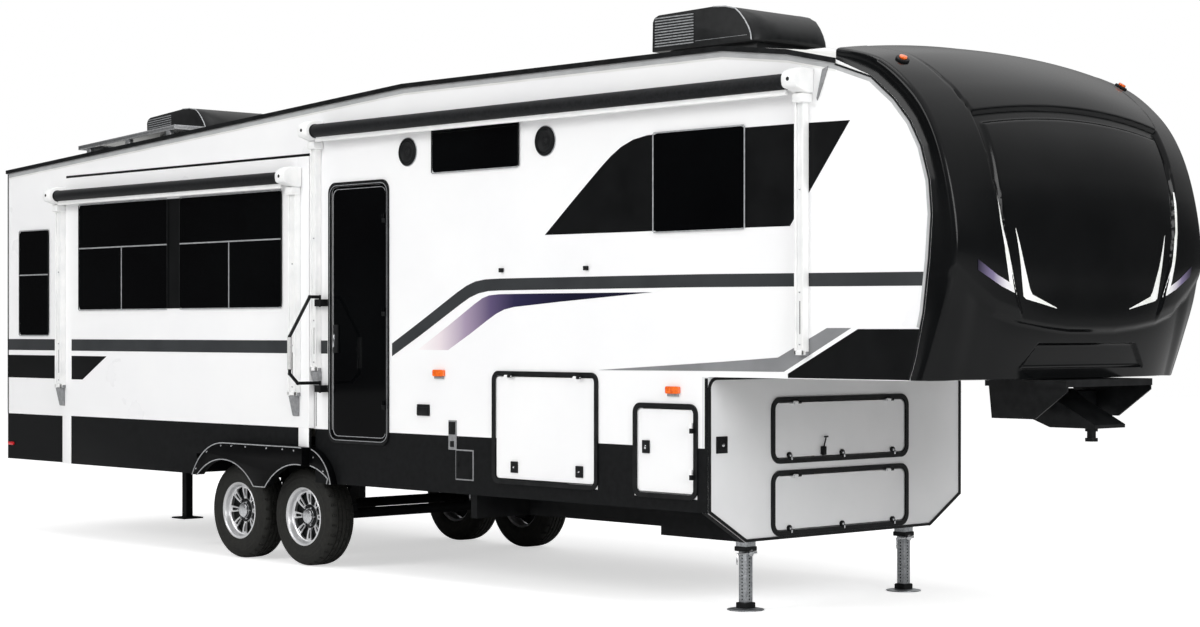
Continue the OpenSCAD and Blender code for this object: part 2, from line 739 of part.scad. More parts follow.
module pin_box() {
  color("black") {
    bar(fx(1450), fx(2010), -430, 430, deck_z - 40, deck_z - seat);
    for (y = [-420, 408]) translate([0, y + 12, 0]) rotate([90, 0, 0]) linear_extrude(12)
      polygon([[fx(1470), deck_z - 40], [fx(2010), deck_z - 40], [fx(2010), 1375],
        [fx(1790), 1215], [fx(1490), 1215]]);
    translate([0, 150, 0]) rotate([90, 0, 0]) linear_extrude(300)
      polygon([[fx(1480), 1240], [fx(1480), 1380], [fx(1650), 1380], [fx(1740), 1320],
        [fx(2010), 1180], [fx(2010), pin_plate_z], [fx(1700), pin_plate_z]]);
    for (y = [-409, 149]) bar(fx(1500), fx(1640), y, y + 260, 1250, 1360);
  }
  color("silver") translate([fx(1883), 0, pin_plate_z]) mirror([0, 0, 1]) {
    cylinder(r = 36.5, h = 22);
    cylinder(r = pin_r, h = 64);
    translate([0, 0, 60]) cylinder(r = 36.5, h = 20);
  }
}

leg_back = 115;
leg_y = 765 + seat;
module landing_legs() {
  color("silver") for (s = [-1, 1]) translate([fx(-leg_back), s*leg_y, 0]) {
    translate([-45, -45, 380]) cube([90, 90, 235]);
    translate([-35, -35, 12]) cube([70, 70, 368]);
    cylinder(r = 115, h = 12);
  }
}

module stabilizers() {
  color("black") for (s = [-1, 1]) translate([fx(-6100), s*rail_y, 0]) {
    translate([-30, -30, 230]) cube([60, 60, rail_z - 230 - seat]);
    translate([-90, -90, 218]) cube([180, 180, 12]);
  }
}

module marker_lamps() {
  color("orange") {
    for (p = [[-2511, 1431], [-286, 1357]])
      xz_plate(fx(p[0]) - 55, p[1] - 22, 110, 44, -half - 22, 22 - seat, 10);
    for (p = [[-1700, 1431], [-286, 1357]])
      xz_plate(fx(p[0]) - 55, p[1] - 22, 110, 44, half + seat, 22 - seat, 10);
  }
}

module tail_lamps() {
  color("red") for (s = [-1, 1])
    yz_plate(s*1000 - 70, 1120, 140, 320, rear_x - 25, 25 - seat, 20);
}

module ladder() {
  color("silver") {
    for (y = [760, 1100]) {
      bar(rear_x - 90, rear_x - 65, y, y + 25, 1100, roof_rear_z + 115);
      for (z = [1300, 2300, 2900]) bar(rear_x - 65 + seat, rear_x - seat, y, y + 25, z, z + 25);
    }
    for (z = [1200:300:roof_rear_z + 65]) bar(rear_x - 90, rear_x - 65, 785 + seat, 1100 - seat,
      z, z + 25);
  }
}

chassis();
axles();
floor_pan();
wall_curb();
wall_off();
wall_rear();
front_box();
front_cap();
roof();
roof_rails();
skirts();
window_panes();
air_conditioners();
solar_panel();
roof_vents();
patio_awning();
pin_box();
landing_legs();
stabilizers();
wall_fenders();
door_frames();
marker_lamps();
tail_lamps();
ladder();
entry_door();
baggage_door_large();
baggage_door_small();
storage_door_upper();
storage_door_lower();
slide_curb_box();
slide_curb_glass();
slide_curb_awning();
slide_curb_skirt();
slide_off_box();
slide_off_glass();
slide_off_awning();
assist_handle();
tyre_fr();
tyre_rr();
tyre_fl();
tyre_rl();
rim_fr();
rim_rr();
rim_fl();
rim_rl();
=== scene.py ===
import bpy
import bmesh
import json
import math
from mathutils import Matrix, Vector

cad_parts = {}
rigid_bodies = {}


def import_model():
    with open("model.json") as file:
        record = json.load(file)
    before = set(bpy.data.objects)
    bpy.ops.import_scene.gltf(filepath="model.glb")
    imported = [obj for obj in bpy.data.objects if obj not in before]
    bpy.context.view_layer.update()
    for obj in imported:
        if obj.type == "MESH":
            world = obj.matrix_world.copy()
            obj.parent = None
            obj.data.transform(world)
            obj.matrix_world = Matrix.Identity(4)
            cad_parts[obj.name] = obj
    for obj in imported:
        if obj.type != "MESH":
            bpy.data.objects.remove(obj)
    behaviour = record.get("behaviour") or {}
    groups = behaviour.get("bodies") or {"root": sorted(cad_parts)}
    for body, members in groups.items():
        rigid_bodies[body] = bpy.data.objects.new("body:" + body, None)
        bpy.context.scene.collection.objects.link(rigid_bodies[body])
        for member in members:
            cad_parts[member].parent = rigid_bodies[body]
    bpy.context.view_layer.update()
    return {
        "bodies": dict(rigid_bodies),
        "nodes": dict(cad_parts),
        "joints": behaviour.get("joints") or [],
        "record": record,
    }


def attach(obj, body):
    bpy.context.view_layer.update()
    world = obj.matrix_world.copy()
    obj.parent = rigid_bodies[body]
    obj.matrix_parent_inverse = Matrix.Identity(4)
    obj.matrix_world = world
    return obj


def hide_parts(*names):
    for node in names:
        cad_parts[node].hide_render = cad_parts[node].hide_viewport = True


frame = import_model()
nodes = frame["nodes"]
print("frame loaded")

boxX = 3.230        # front face of the lower box: side measures are metres from it
wallY = 1.220       # half width over the walls
slideY = 1.271      # outer face of a closed slide-out


# materials

def linear(code):  # sRGB hex to linear colour
    parts = [int(code[i:i + 2], 16) / 255 for i in (1, 3, 5)]
    return tuple(c / 12.92 if c <= 0.04045 else ((c + 0.055) / 1.055) ** 2.4 for c in parts) + (1.0,)


def addNode(tree, kind, settings, links=()):  # one node, its settings, and what feeds it
    made = tree.nodes.new(kind)
    for key, value in settings.items():
        if key in made.inputs:
            made.inputs[key].default_value = value
        else:
            setattr(made, key, value)
    for socket, source in links:
        tree.links.new(source, made.inputs[socket])
    return made


def newFinish(name, shader):  # an empty finish: its tree, its shader and the object's own coordinates
    made = bpy.data.materials.new(name)
    made.use_nodes = True
    tree = made.node_tree
    shade = tree.nodes["Principled BSDF"]
    for socket, value in shader.items():
        shade.inputs[socket].default_value = value
    place = addNode(tree, "ShaderNodeTexCoord", {})
    return made, tree, shade, place.outputs["Object"]


def painted(name, light, dark, patchMm, rough, reliefMm=None, lift=0.0, **shader):
    # two tones in soft patches, gloss that varies by the given pair, and a fine relief
    names = {"metal": "Metallic", "coat": "Coat Weight", "shine": "Specular IOR Level", "coatRough": "Coat Roughness"}
    made, tree, shade, at = newFinish(name, {names[k]: v for k, v in shader.items()})
    patch = addNode(tree, "ShaderNodeTexNoise", {"Scale": 1000 / patchMm, "Detail": 5.0}, [("Vector", at)])
    tone = addNode(tree, "ShaderNodeValToRGB", {}, [("Fac", patch.outputs["Fac"])])
    tone.color_ramp.elements[0].position, tone.color_ramp.elements[1].position = 0.32, 0.66
    tone.color_ramp.elements[0].color, tone.color_ramp.elements[1].color = linear(dark), linear(light)
    tree.links.new(tone.outputs["Color"], shade.inputs["Base Color"])
    gloss = addNode(tree, "ShaderNodeMapRange", {"To Min": rough[0], "To Max": rough[1]}, [("Value", patch.outputs["Fac"])])
    tree.links.new(gloss.outputs["Result"], shade.inputs["Roughness"])
    if reliefMm:
        grain = addNode(tree, "ShaderNodeTexNoise", {"Scale": 1000 / reliefMm, "Detail": 3.0}, [("Vector", at)])
        bump = addNode(tree, "ShaderNodeBump", {"Strength": 0.6, "Distance": lift / 1000}, [("Height", grain.outputs["Fac"])])
        tree.links.new(bump.outputs["Normal"], shade.inputs["Normal"])
    return made


finishes = {
    # moulded fibreglass with white gelcoat: bright, clean, a soft wide sheen and a faint ripple
    "gelcoatWhite": painted("gelcoatWhite", "#f9f9f9", "#f5f5f6", 900, (0.24, 0.34), 90, 0.08, shine=0.35),
    # black gelcoat over the same moulding: deep gloss with long highlights
    "gelcoatBlack": painted("gelcoatBlack", "#0e0f10", "#070809", 500, (0.12, 0.2), 160, 0.10, shine=0.18),
    # glass fibre skirt sheet, black with a dull brushed look and a film of dust
    "skirtSheet": painted("skirtSheet", "#161718", "#0e0f10", 38, (0.48, 0.66), 5, 0.25, shine=0.08),
    # lower front box and its doors, a shade greyer than the walls: partly a light grey gelcoat, partly painted shade of
    # the face turned from the key light
    "greyGelcoatAndShade": painted("greyGelcoatAndShade", "#ececed", "#e4e5e6", 600, (0.3, 0.42), 90, 0.08, shine=0.3),
    # dark tinted safety glass: almost black, mirror smooth, faintly uneven
    "tintedGlass": painted("tintedGlass", "#060708", "#030304", 900, (0.03, 0.06), 400, 0.15, shine=0.07),
    # extruded aluminium with black powder coat
    "powderBlack": painted("powderBlack", "#1a1b1c", "#0c0d0e", 60, (0.26, 0.4), 2.5, 0.05, shine=0.16),
    # welded frame steel, satin black chassis paint with dust
    "chassisPaint": painted("chassisPaint", "#161718", "#0b0c0d", 90, (0.5, 0.72), 8, 0.2, shine=0.1),
    # aluminium with white powder coat, for the awnings' arms and heads
    "powderWhite": painted("powderWhite", "#f7f7f6", "#eceded", 120, (0.3, 0.42), 2.5, 0.04),
    # roof membrane, white rubber sheet, chalky
    "roofMembrane": painted("roofMembrane", "#eeeeec", "#dcdcd9", 300, (0.62, 0.8), 12, 0.4),
    # brushed aluminium tube
    "brushedTube": painted("brushedTube", "#c9cacc", "#a9abae", 14, (0.24, 0.4), 1.5, 0.03, metal=1.0),
    # polished stainless steel of catches and locks
    "polishedSteel": painted("polishedSteel", "#d9dadc", "#b4b6b9", 20, (0.12, 0.22), metal=1.0),
    # moulded black plastic with a light texture
    "mouldedBlack": painted("mouldedBlack", "#1c1d1e", "#101112", 45, (0.42, 0.58), 1.6, 0.08, shine=0.12),
    # soft grey foam sleeve on the handle
    "foamGrey": painted("foamGrey", "#cfcfce", "#b9b9b8", 10, (0.7, 0.85), 1.8, 0.2),
    # cut vinyl film, satin: charcoal, black and mid grey
    "filmCharcoal": painted("filmCharcoal", "#3a3c3e", "#333537", 260, (0.3, 0.42), shine=0.1),
    "filmBlack": painted("filmBlack", "#0f1011", "#090a0b", 220, (0.28, 0.4), shine=0.09),
    "filmGrey": painted("filmGrey", "#8b8c8e", "#808183", 260, (0.3, 0.42), shine=0.12),
    "filmWhite": painted("filmWhite", "#ffffff", "#eef0ea", 120, (0.24, 0.32)),
    # lamp lenses: clear coloured acrylic, lit from inside by its own depth
    "amberLens": painted("amberLens", "#ff7a1c", "#e4520a", 12, (0.08, 0.16), coat=0.6),
    "redLens": painted("redLens", "#e3222a", "#b0121a", 12, (0.08, 0.16), coat=0.6),
    # inside floor, vinyl plank, and the plywood under it
    "floorSheet": painted("floorSheet", "#6a6660", "#57534e", 180, (0.5, 0.66), 20, 0.2),
    # solar cells behind glass: blue black
    "solarCell": painted("solarCell", "#10151f", "#0a0d14", 60, (0.08, 0.14), shine=0.5),
}


def zincFinish():  # hot dipped zinc: pale crystals a few millimetres wide, dull metal
    made, tree, shade, at = newFinish("dippedZinc", {"Metallic": 1.0})
    flake = addNode(tree, "ShaderNodeTexVoronoi", {"Scale": 1000 / 9, "feature": "F1"}, [("Vector", at)])
    tone = addNode(tree, "ShaderNodeValToRGB", {}, [("Fac", flake.outputs["Color"])])
    tone.color_ramp.elements[0].color, tone.color_ramp.elements[1].color = linear("#8e9194"), linear("#c3c6c9")
    tree.links.new(tone.outputs["Color"], shade.inputs["Base Color"])
    gloss = addNode(tree, "ShaderNodeMapRange", {"To Min": 0.34, "To Max": 0.52}, [("Value", flake.outputs["Distance"])])
    tree.links.new(gloss.outputs["Result"], shade.inputs["Roughness"])
    return made


def rubberFinish():  # tyre rubber: matt black, dusty in the low places, fine mould lines
    made, tree, shade, at = newFinish("tyreRubber", {"Specular IOR Level": 0.2})
    dust = addNode(tree, "ShaderNodeTexNoise", {"Scale": 1000 / 24, "Detail": 8.0}, [("Vector", at)])
    tone = addNode(tree, "ShaderNodeValToRGB", {}, [("Fac", dust.outputs["Fac"])])
    tone.color_ramp.elements[0].color, tone.color_ramp.elements[1].color = linear("#121212"), linear("#32322f")
    tree.links.new(tone.outputs["Color"], shade.inputs["Base Color"])
    gloss = addNode(tree, "ShaderNodeMapRange", {"To Min": 0.6, "To Max": 0.82}, [("Value", dust.outputs["Fac"])])
    tree.links.new(gloss.outputs["Result"], shade.inputs["Roughness"])
    grain = addNode(tree, "ShaderNodeTexNoise", {"Scale": 1000 / 3, "Detail": 2.0}, [("Vector", at)])
    bump = addNode(tree, "ShaderNodeBump", {"Strength": 0.4, "Distance": 0.0003}, [("Height", grain.outputs["Fac"])])
    tree.links.new(bump.outputs["Normal"], shade.inputs["Normal"])
    return made


def machinedFinish():  # turned alloy face: rings of the lathe about each axle, bright and directional
    made, tree, shade, at = newFinish("machinedAlloy", {"Metallic": 0.7})
    ring = addNode(tree, "ShaderNodeTexNoise", {"Scale": 1000 / 6, "Detail": 3.0}, [("Vector", at)])
    tone = addNode(tree, "ShaderNodeValToRGB", {}, [("Fac", ring.outputs["Fac"])])
    tone.color_ramp.elements[0].color, tone.color_ramp.elements[1].color = linear("#cfd0d2"), linear("#f4f4f5")
    tree.links.new(tone.outputs["Color"], shade.inputs["Base Color"])
    gloss = addNode(tree, "ShaderNodeMapRange", {"To Min": 0.3, "To Max": 0.42}, [("Value", ring.outputs["Fac"])])
    tree.links.new(gloss.outputs["Result"], shade.inputs["Roughness"])
    return made


def fadeFinish(name, stops, fromX, toX):  # printed vinyl whose colour runs along the side
    made, tree, shade, at = newFinish(name, {"Specular IOR Level": 0.1})
    parts = addNode(tree, "ShaderNodeSeparateXYZ", {}, [("Vector", at)])
    run = addNode(tree, "ShaderNodeMapRange", {"From Min": fromX, "From Max": toX}, [("Value", parts.outputs["X"])])
    tone = addNode(tree, "ShaderNodeValToRGB", {}, [("Fac", run.outputs["Result"])])
    for n, (spot, code) in enumerate(stops):
        step = tone.color_ramp.elements[n] if n < 2 else tone.color_ramp.elements.new(spot)
        step.position, step.color = spot, linear(code)
    tree.links.new(tone.outputs["Color"], shade.inputs["Base Color"])
    speck = addNode(tree, "ShaderNodeTexNoise", {"Scale": 1000 / 200, "Detail": 3.0}, [("Vector", at)])
    gloss = addNode(tree, "ShaderNodeMapRange", {"To Min": 0.26, "To Max": 0.4}, [("Value", speck.outputs["Fac"])])
    tree.links.new(gloss.outputs["Result"], shade.inputs["Roughness"])
    return made


finishes["dippedZinc"] = zincFinish()
finishes["tyreRubber"] = rubberFinish()
finishes["machinedAlloy"] = machinedFinish()
print("materials made")

# finish of each node that keeps its shape
nodeFinish = {
    "gelcoatWhite": "wall_curb wall_off wall_rear slide_curb_box slide_off_box baggage_door_large baggage_door_small",
    "gelcoatBlack": "front_cap",
    "greyGelcoatAndShade": "front_box storage_door_upper storage_door_lower",
    "skirtSheet": "skirts slide_curb_skirt",
    "tintedGlass": "window_panes slide_curb_glass slide_off_glass entry_door",
    "powderBlack": "roof_rails door_frames pin_box assist_handle",
    "mouldedBlack": "wall_fenders air_conditioners",
    "chassisPaint": "chassis axles stabilizers",
    "powderWhite": "patio_awning slide_curb_awning slide_off_awning roof_vents",
    "roofMembrane": "roof",
    "floorSheet": "floor_pan",
    "brushedTube": "ladder solar_panel",
    "dippedZinc": "landing_legs",
    "amberLens": "marker_lamps",
    "redLens": "tail_lamps",
    "tyreRubber": "tyre_fr tyre_rr tyre_fl tyre_rl",
    "machinedAlloy": "rim_fr rim_rr rim_fl rim_rl",
}
for finishName, names in nodeFinish.items():
    for nodeName in names.split():
        data = nodes[nodeName].data
        data.materials.clear()
        data.materials.append(finishes[finishName])


# modelling helpers

def only(*objs):  # selects these objects and nothing else
    bpy.ops.object.select_all(action="DESELECT")
    for o in objs:
        o.select_set(True)
    bpy.context.view_layer.objects.active = objs[-1]


def modify(obj, kind, **settings):  # one modifier, applied at once
    only(obj)
    made = obj.modifiers.new(kind.title(), kind)
    for key, value in settings.items():
        setattr(made, key, value)
    bpy.ops.object.modifier_apply(modifier=made.name)


def joined(parts):  # several pieces as one object
    only(*parts)
    if len(parts) > 1:
        bpy.ops.object.join()
    return bpy.context.object


def settle(obj, name, finishName, body, smooth=40):  # place into the mesh, finish, and ride
    only(obj)
    bpy.ops.object.transform_apply(location=True, rotation=True, scale=True)
    obj.name = obj.data.name = name
    if finishName:
        obj.data.materials.clear()
        obj.data.materials.append(finishes[finishName])
    if smooth:
        bpy.ops.object.shade_smooth_by_angle(angle=math.radians(smooth))
    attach(obj, body)
    return obj


def block(low, high, bevel=0.003, segments=2):  # a box between two corners with eased edges
    low, high = Vector(low), Vector(high)
    bpy.ops.object.select_all(action="DESELECT")
    bpy.ops.mesh.primitive_cube_add(size=1, location=(low + high) / 2)
    obj = bpy.context.object
    obj.scale = high - low
    bpy.ops.object.transform_apply(location=True, rotation=True, scale=True)
    if bevel:
        modify(obj, "BEVEL", width=bevel, segments=segments)
    return obj


def rod(start, end, radius, sides=24, bevel=0.0):  # a round bar between two points
    start, end = Vector(start), Vector(end)
    bpy.ops.object.select_all(action="DESELECT")
    bpy.ops.mesh.primitive_cylinder_add(vertices=sides, radius=radius, depth=(end - start).length, location=(start + end) / 2)
    obj = bpy.context.object
    obj.rotation_mode = "QUATERNION"
    obj.rotation_quaternion = (end - start).to_track_quat("Z", "Y")
    bpy.ops.object.transform_apply(location=True, rotation=True, scale=True)
    if bevel:
        modify(obj, "BEVEL", width=bevel, segments=2, limit_method="ANGLE")
    return obj


def faceOut(obj, axis, sign):  # turns a thin sheet's normals to one side
    only(obj)
    bpy.ops.object.mode_set(mode="EDIT")
    bpy.ops.mesh.select_all(action="SELECT")
    bpy.ops.mesh.remove_doubles(threshold=0.0003)
    bpy.ops.mesh.normals_make_consistent(inside=False)
    bpy.ops.object.mode_set(mode="OBJECT")
    if sum(p.normal[axis] * p.area for p in obj.data.polygons) * sign < 0:
        bpy.ops.object.mode_set(mode="EDIT")
        bpy.ops.mesh.select_all(action="SELECT")
        bpy.ops.mesh.flip_normals()
        bpy.ops.object.mode_set(mode="OBJECT")


def ribbon(tops, bottoms, face, thick=0.0012):
    # a cut sheet on a side wall, laid from station to station; face is its Y, thickness goes outwards
    last = len(tops) - 1
    bpy.ops.object.select_all(action="DESELECT")
    bpy.ops.mesh.primitive_grid_add(x_subdivisions=last, y_subdivisions=1, size=2)
    obj = bpy.context.object
    for v in obj.data.vertices:
        x, z = (tops if v.co.y > 0 else bottoms)[round((v.co.x + 1) / 2 * last)]
        v.co = (boxX + x, face, z)
    faceOut(obj, 1, -1 if face < 0 else 1)
    modify(obj, "SOLIDIFY", thickness=thick, offset=1.0)
    return obj


def plate(points, axis, start, depth, bevel=0.0):
    # an outline laid across one axis and given depth along it; points are the two other coordinates
    bpy.ops.object.select_all(action="DESELECT")
    bpy.ops.mesh.primitive_circle_add(vertices=len(points), radius=1, fill_type="NGON")
    obj = bpy.context.object
    others = [a for a in range(3) if a != axis]
    for v, p in zip(obj.data.vertices, points):
        place = [start] * 3
        place[others[0]], place[others[1]] = p
        v.co = place
    faceOut(obj, axis, 1)
    modify(obj, "SOLIDIFY", thickness=depth, offset=1.0)
    if bevel:
        modify(obj, "BEVEL", width=bevel, segments=2, limit_method="ANGLE")
    return obj


def loft(rings, bevel=0.0):  # closed rings of points joined in turn, both ends filled
    count, last = len(rings[0]), len(rings) - 1
    bpy.ops.object.select_all(action="DESELECT")
    bpy.ops.mesh.primitive_grid_add(x_subdivisions=count, y_subdivisions=last, size=2)
    obj = bpy.context.object
    for v in obj.data.vertices:
        v.co = rings[round((v.co.y + 1) / 2 * last)][round((v.co.x + 1) / 2 * count) % count]
    only(obj)
    bpy.ops.object.mode_set(mode="EDIT")
    bpy.ops.mesh.select_all(action="SELECT")
    bpy.ops.mesh.remove_doubles(threshold=0.0002)
    bpy.ops.mesh.select_all(action="SELECT")
    bpy.ops.mesh.fill_holes(sides=0)
    bpy.ops.mesh.select_all(action="SELECT")
    bpy.ops.mesh.normals_make_consistent(inside=False)
    bpy.ops.object.mode_set(mode="OBJECT")
    if bevel:
        modify(obj, "BEVEL", width=bevel, segments=2, limit_method="ANGLE", angle_limit=math.radians(35))
    return obj


def cutAt(obj, x, keepFront):  # what stands before or behind a station along the body
    only(obj)
    bpy.ops.object.mode_set(mode="EDIT")
    bpy.ops.mesh.select_all(action="SELECT")
    bpy.ops.mesh.bisect(plane_co=(boxX + x, 0, 0), plane_no=(1, 0, 0), use_fill=True, clear_inner=keepFront, clear_outer=not keepFront)
    bpy.ops.object.mode_set(mode="OBJECT")
    return obj


def arc(cx, cz, r, start, stop, n=8):
    return [(cx + r * math.cos(math.radians(start + (stop - start) * k / n)), cz + r * math.sin(math.radians(start + (stop - start) * k / n)))
            for k in range(n + 1)]


def edgeTrim(name, points, face, wide, stand, axis, sign, body, finishName):
    # a flat strip along an open run of points on a face, inside the run's left hand, standing outwards
    last = len(points) - 1
    inner = []
    for n, (a, b) in enumerate(points):
        back, ahead = Vector(points[max(n - 1, 0)]), Vector(points[min(n + 1, last)])
        here = Vector((a, b))
        way, reach = (ahead - back).normalized(), wide
        if 0 < n < last:
            d0, d1 = (here - back).normalized(), (ahead - here).normalized()
            way = (d0 + d1).normalized()
            reach = wide / max(0.5, math.cos(d0.angle(d1) / 2))
        inner.append((a - way.y * reach, b + way.x * reach))
    bpy.ops.object.select_all(action="DESELECT")
    bpy.ops.mesh.primitive_grid_add(x_subdivisions=last, y_subdivisions=1, size=2)
    strip = bpy.context.object
    for v in strip.data.vertices:
        a, b = (points if v.co.y > 0 else inner)[round((v.co.x + 1) / 2 * last)]
        v.co = (face, a, b) if axis == 0 else (boxX + a, face, b)
    faceOut(strip, axis, sign)
    modify(strip, "SOLIDIFY", thickness=stand, offset=1.0)
    return settle(strip, name, finishName, body, 40)




# stripes and blocks of cut vinyl on the curb side

filmStyle = {
    "lift": 0.0008,        # film above the panel that carries it
    "rearTop": 1.647, "rearLow": 1.553,
    "blockTop": 1.511, "blockLow": 1.318,
}


def stripes():
    s = filmStyle
    out, outSlide = -wallY, -slideY

    def bar(fromX, toX, top, low, face, name, finishName, body, slopeEnd=0.0):
        tops = [(fromX, top), (toX + slopeEnd, top)]
        lows = [(fromX, low), (toX, low)]
        settle(ribbon(tops, lows, face), name, finishName, body, 0)

    bar(-8.322, -7.345, s["rearTop"], s["rearLow"], out, "stripeRear", "filmCharcoal", "trailer")
    bar(-7.196, -4.056, s["rearTop"], s["rearLow"], outSlide, "stripeSlide", "filmCharcoal", "slide_curb")
    bar(-3.915, -3.772, s["rearTop"], s["rearLow"], out, "stripeBeforeDoor", "filmCharcoal", "trailer")
    bar(-8.322, -7.345, s["blockTop"], s["blockLow"], out, "blockRear", "filmBlack", "trailer")
    bar(-7.196, -7.026, s["blockTop"], s["blockLow"], outSlide, "blockSlide", "filmBlack", "slide_curb", 0.367)

    tops = [(-3.030, 1.629), (-2.725, 1.777), (-2.330, 1.974), (-2.230, 2.018), (-2.140, 2.045), (-2.040, 2.057),
            (-1.893, 2.060), (-0.066, 2.056), (1.662, 2.039)]
    lows = [(-3.030, 1.540), (-2.725, 1.683), (-2.301, 1.892), (-2.200, 1.938), (-2.110, 1.965), (-2.010, 1.979),
            (-1.880, 1.982), (-0.066, 1.978), (1.644, 1.963)]
    settle(ribbon(tops, lows, out), "stripeSide", "filmCharcoal", "trailer", 0)

    # narrow blade under the stripe, its colour fading out at the lower end
    tops = [(-2.746, 1.587), (-2.400, 1.762), (-2.150, 1.894), (-2.070, 1.932), (-2.003, 1.950), (-1.900, 1.957),
            (-1.500, 1.957), (-0.470, 1.953)]
    lows = [(-2.426, 1.587), (-2.200, 1.694), (-2.020, 1.786), (-1.930, 1.829), (-1.850, 1.856), (-1.753, 1.872),
            (-1.300, 1.903), (-0.470, 1.953)]
    blade = ribbon(tops, lows, out)
    finishes["filmFade"] = fadeFinish("filmFade", [(0.0, "#f7f3f3"), (0.14, "#e6dbe0"), (0.32, "#a696ad"), (0.5, "#5c5072"),
                                                   (0.66, "#292646"), (1.0, "#14142a")], boxX - 2.72, boxX - 1.25)
    settle(blade, "bladeSide", "filmFade", "trailer", 0)

    # large dark shape behind the bedroom window, with rounded upper rear corner
    tops = [(-1.452, 2.3331), (-1.182, 2.547), (-0.930, 2.742), (-0.840, 2.806), (-0.750, 2.858), (-0.640, 2.898),
            (-0.520, 2.917), (-0.492, 2.918), (0.660, 2.910), (1.107, 2.903)]
    lows = [(-1.452, 2.3329), (-1.182, 2.331), (-0.930, 2.330), (-0.840, 2.329), (-0.750, 2.329), (-0.640, 2.328),
            (-0.520, 2.328), (-0.492, 2.328), (0.655, 2.321), (1.107, 2.903)]
    settle(ribbon(tops, lows, out), "bedroomPanel", "filmBlack", "trailer", 0)

    # grey wedge and black foot at the front
    tops = [(-0.947, 1.4705), (0.099, 1.531), (0.562, 1.561), (0.936, 1.732), (1.114, 1.732)]
    lows = [(-0.947, 1.4695), (0.099, 1.477), (0.562, 1.478), (0.609, 1.479), (1.114, 1.731)]
    settle(ribbon(tops, lows, out), "wedgeGrey", "filmGrey", "trailer", 0)
    tops = [(0.640, 1.468), (1.165, 1.726), (1.614, 1.726)]
    lows = [(0.640, 1.444), (1.165, 1.444), (1.533, 1.444)]
    settle(ribbon(tops, lows, out), "footBlack", "filmBlack", "trailer", 0)


def plainStripesOff():  # the far side, which the photograph hides, repeats the level stripe
    for name, fromX, toX, face, body in (("stripeOffRear", -8.322, -5.66, wallY, "trailer"),
                                         ("stripeOffSlide", -5.64, -2.16, slideY, "slide_off"),
                                         ("stripeOffFront", -2.14, 1.60, wallY, "trailer")):
        sheet = ribbon([(fromX, 1.647), (toX, 1.647)], [(fromX, 1.553), (toX, 1.553)], face)
        settle(sheet, name, "filmCharcoal", body, 0)


stripes()
plainStripesOff()
print("films laid")


# front cap: one moulding, its screen set between shoulders under a hood

capStyle = {
    "half": 1.19,          # ridge, half width; the sides stand at 1.22
    "across": 220, "along": 280,
    "shoulderRise": 0.011, "hoodRise": 0.016, "grooveDepth": 0.014, "chinSet": 0.02, "plateDepth": 0.02,
    "edge": 0.94,          # share of the half width that is face; the rest turns round the ridge to the wall
    "under": 0.93,         # share of the length that is face; the rest is the lower return
}
# stations from the roof joint over the nose to the lower edge: centre x z, ridge x z, joint with the wall x z
capStations = [
    (1.004, 3.400, 1.012, 3.314, 1.010, 3.259), (1.338, 3.325, 1.300, 3.232, 1.200, 3.182),
    (1.640, 3.130, 1.541, 3.048, 1.430, 3.011), (1.805, 2.870, 1.690, 2.840, 1.565, 2.850),
    (1.880, 2.580, 1.790, 2.560, 1.672, 2.570), (1.905, 2.200, 1.845, 2.214, 1.682, 2.200),
    (1.900, 1.930, 1.812, 1.940, 1.650, 1.930), (1.890, 1.690, 1.735, 1.692, 1.606, 1.690),
    (1.850, 1.441, 1.645, 1.441, 1.540, 1.456),
]
jointLine = [(1.440, 1.534), (1.553, 1.575), (1.817, 1.638), (2.104, 1.675), (2.354, 1.694), (2.543, 1.678), (2.733, 1.622), (2.875, 1.543),
             (3.005, 1.430), (3.140, 1.265), (3.255, 1.000)]  # the wall's edge: height, distance
shoulderLine = [(1.70, 0.62), (1.80, 0.67), (1.919, 0.725), (2.10, 0.79), (2.284, 0.85), (2.548, 0.895), (2.75, 0.905),
                (2.919, 0.91), (3.00, 0.93), (3.17, 0.945), (3.40, 0.955)]
chinLine = [(0.0, 1.730), (0.235, 1.732), (0.45, 1.750), (0.68, 1.778), (0.885, 1.827), (1.07, 1.931), (1.25, 2.06)]


def lookUp(rows, value):  # straight lines between the rows of a table
    if value <= rows[0][0]:
        return rows[0][1]
    for (a, fa), (b, fb) in zip(rows, rows[1:]):
        if value <= b:
            return fa + (fb - fa) * (value - a) / (b - a)
    return rows[-1][1]


def ease(edge0, edge1, value):
    t = min(1.0, max(0.0, (value - edge0) / (edge1 - edge0)))
    return t * t * (3 - 2 * t)


def capStation(t):  # smooth curve through the stations, t from 0 to their last number
    last = len(capStations) - 1
    i = min(int(t), last - 1)
    u = t - i
    rows = [capStations[max(0, min(last, i + k))] for k in (-1, 0, 1, 2)]
    return [0.5 * (2 * b + (c - a) * u + (2 * a - 5 * b + 4 * c - d) * u * u + (3 * b - a - 3 * c + d) * u ** 3)
            for a, b, c, d in zip(*rows)]


def capPoint(t, y):  # point of the plain face, before its relief
    cx, cz, rx, rz, jx, jz = capStation(t)
    share = min(1.0, abs(y) / capStyle["half"])
    power = 3.8 - 1.6 * min(1.0, max(0.0, (cz - 2.5) / 0.65))
    return Vector((boxX + cx - (cx - rx) * share ** power, y, cz - (cz - rz) * share ** 2))


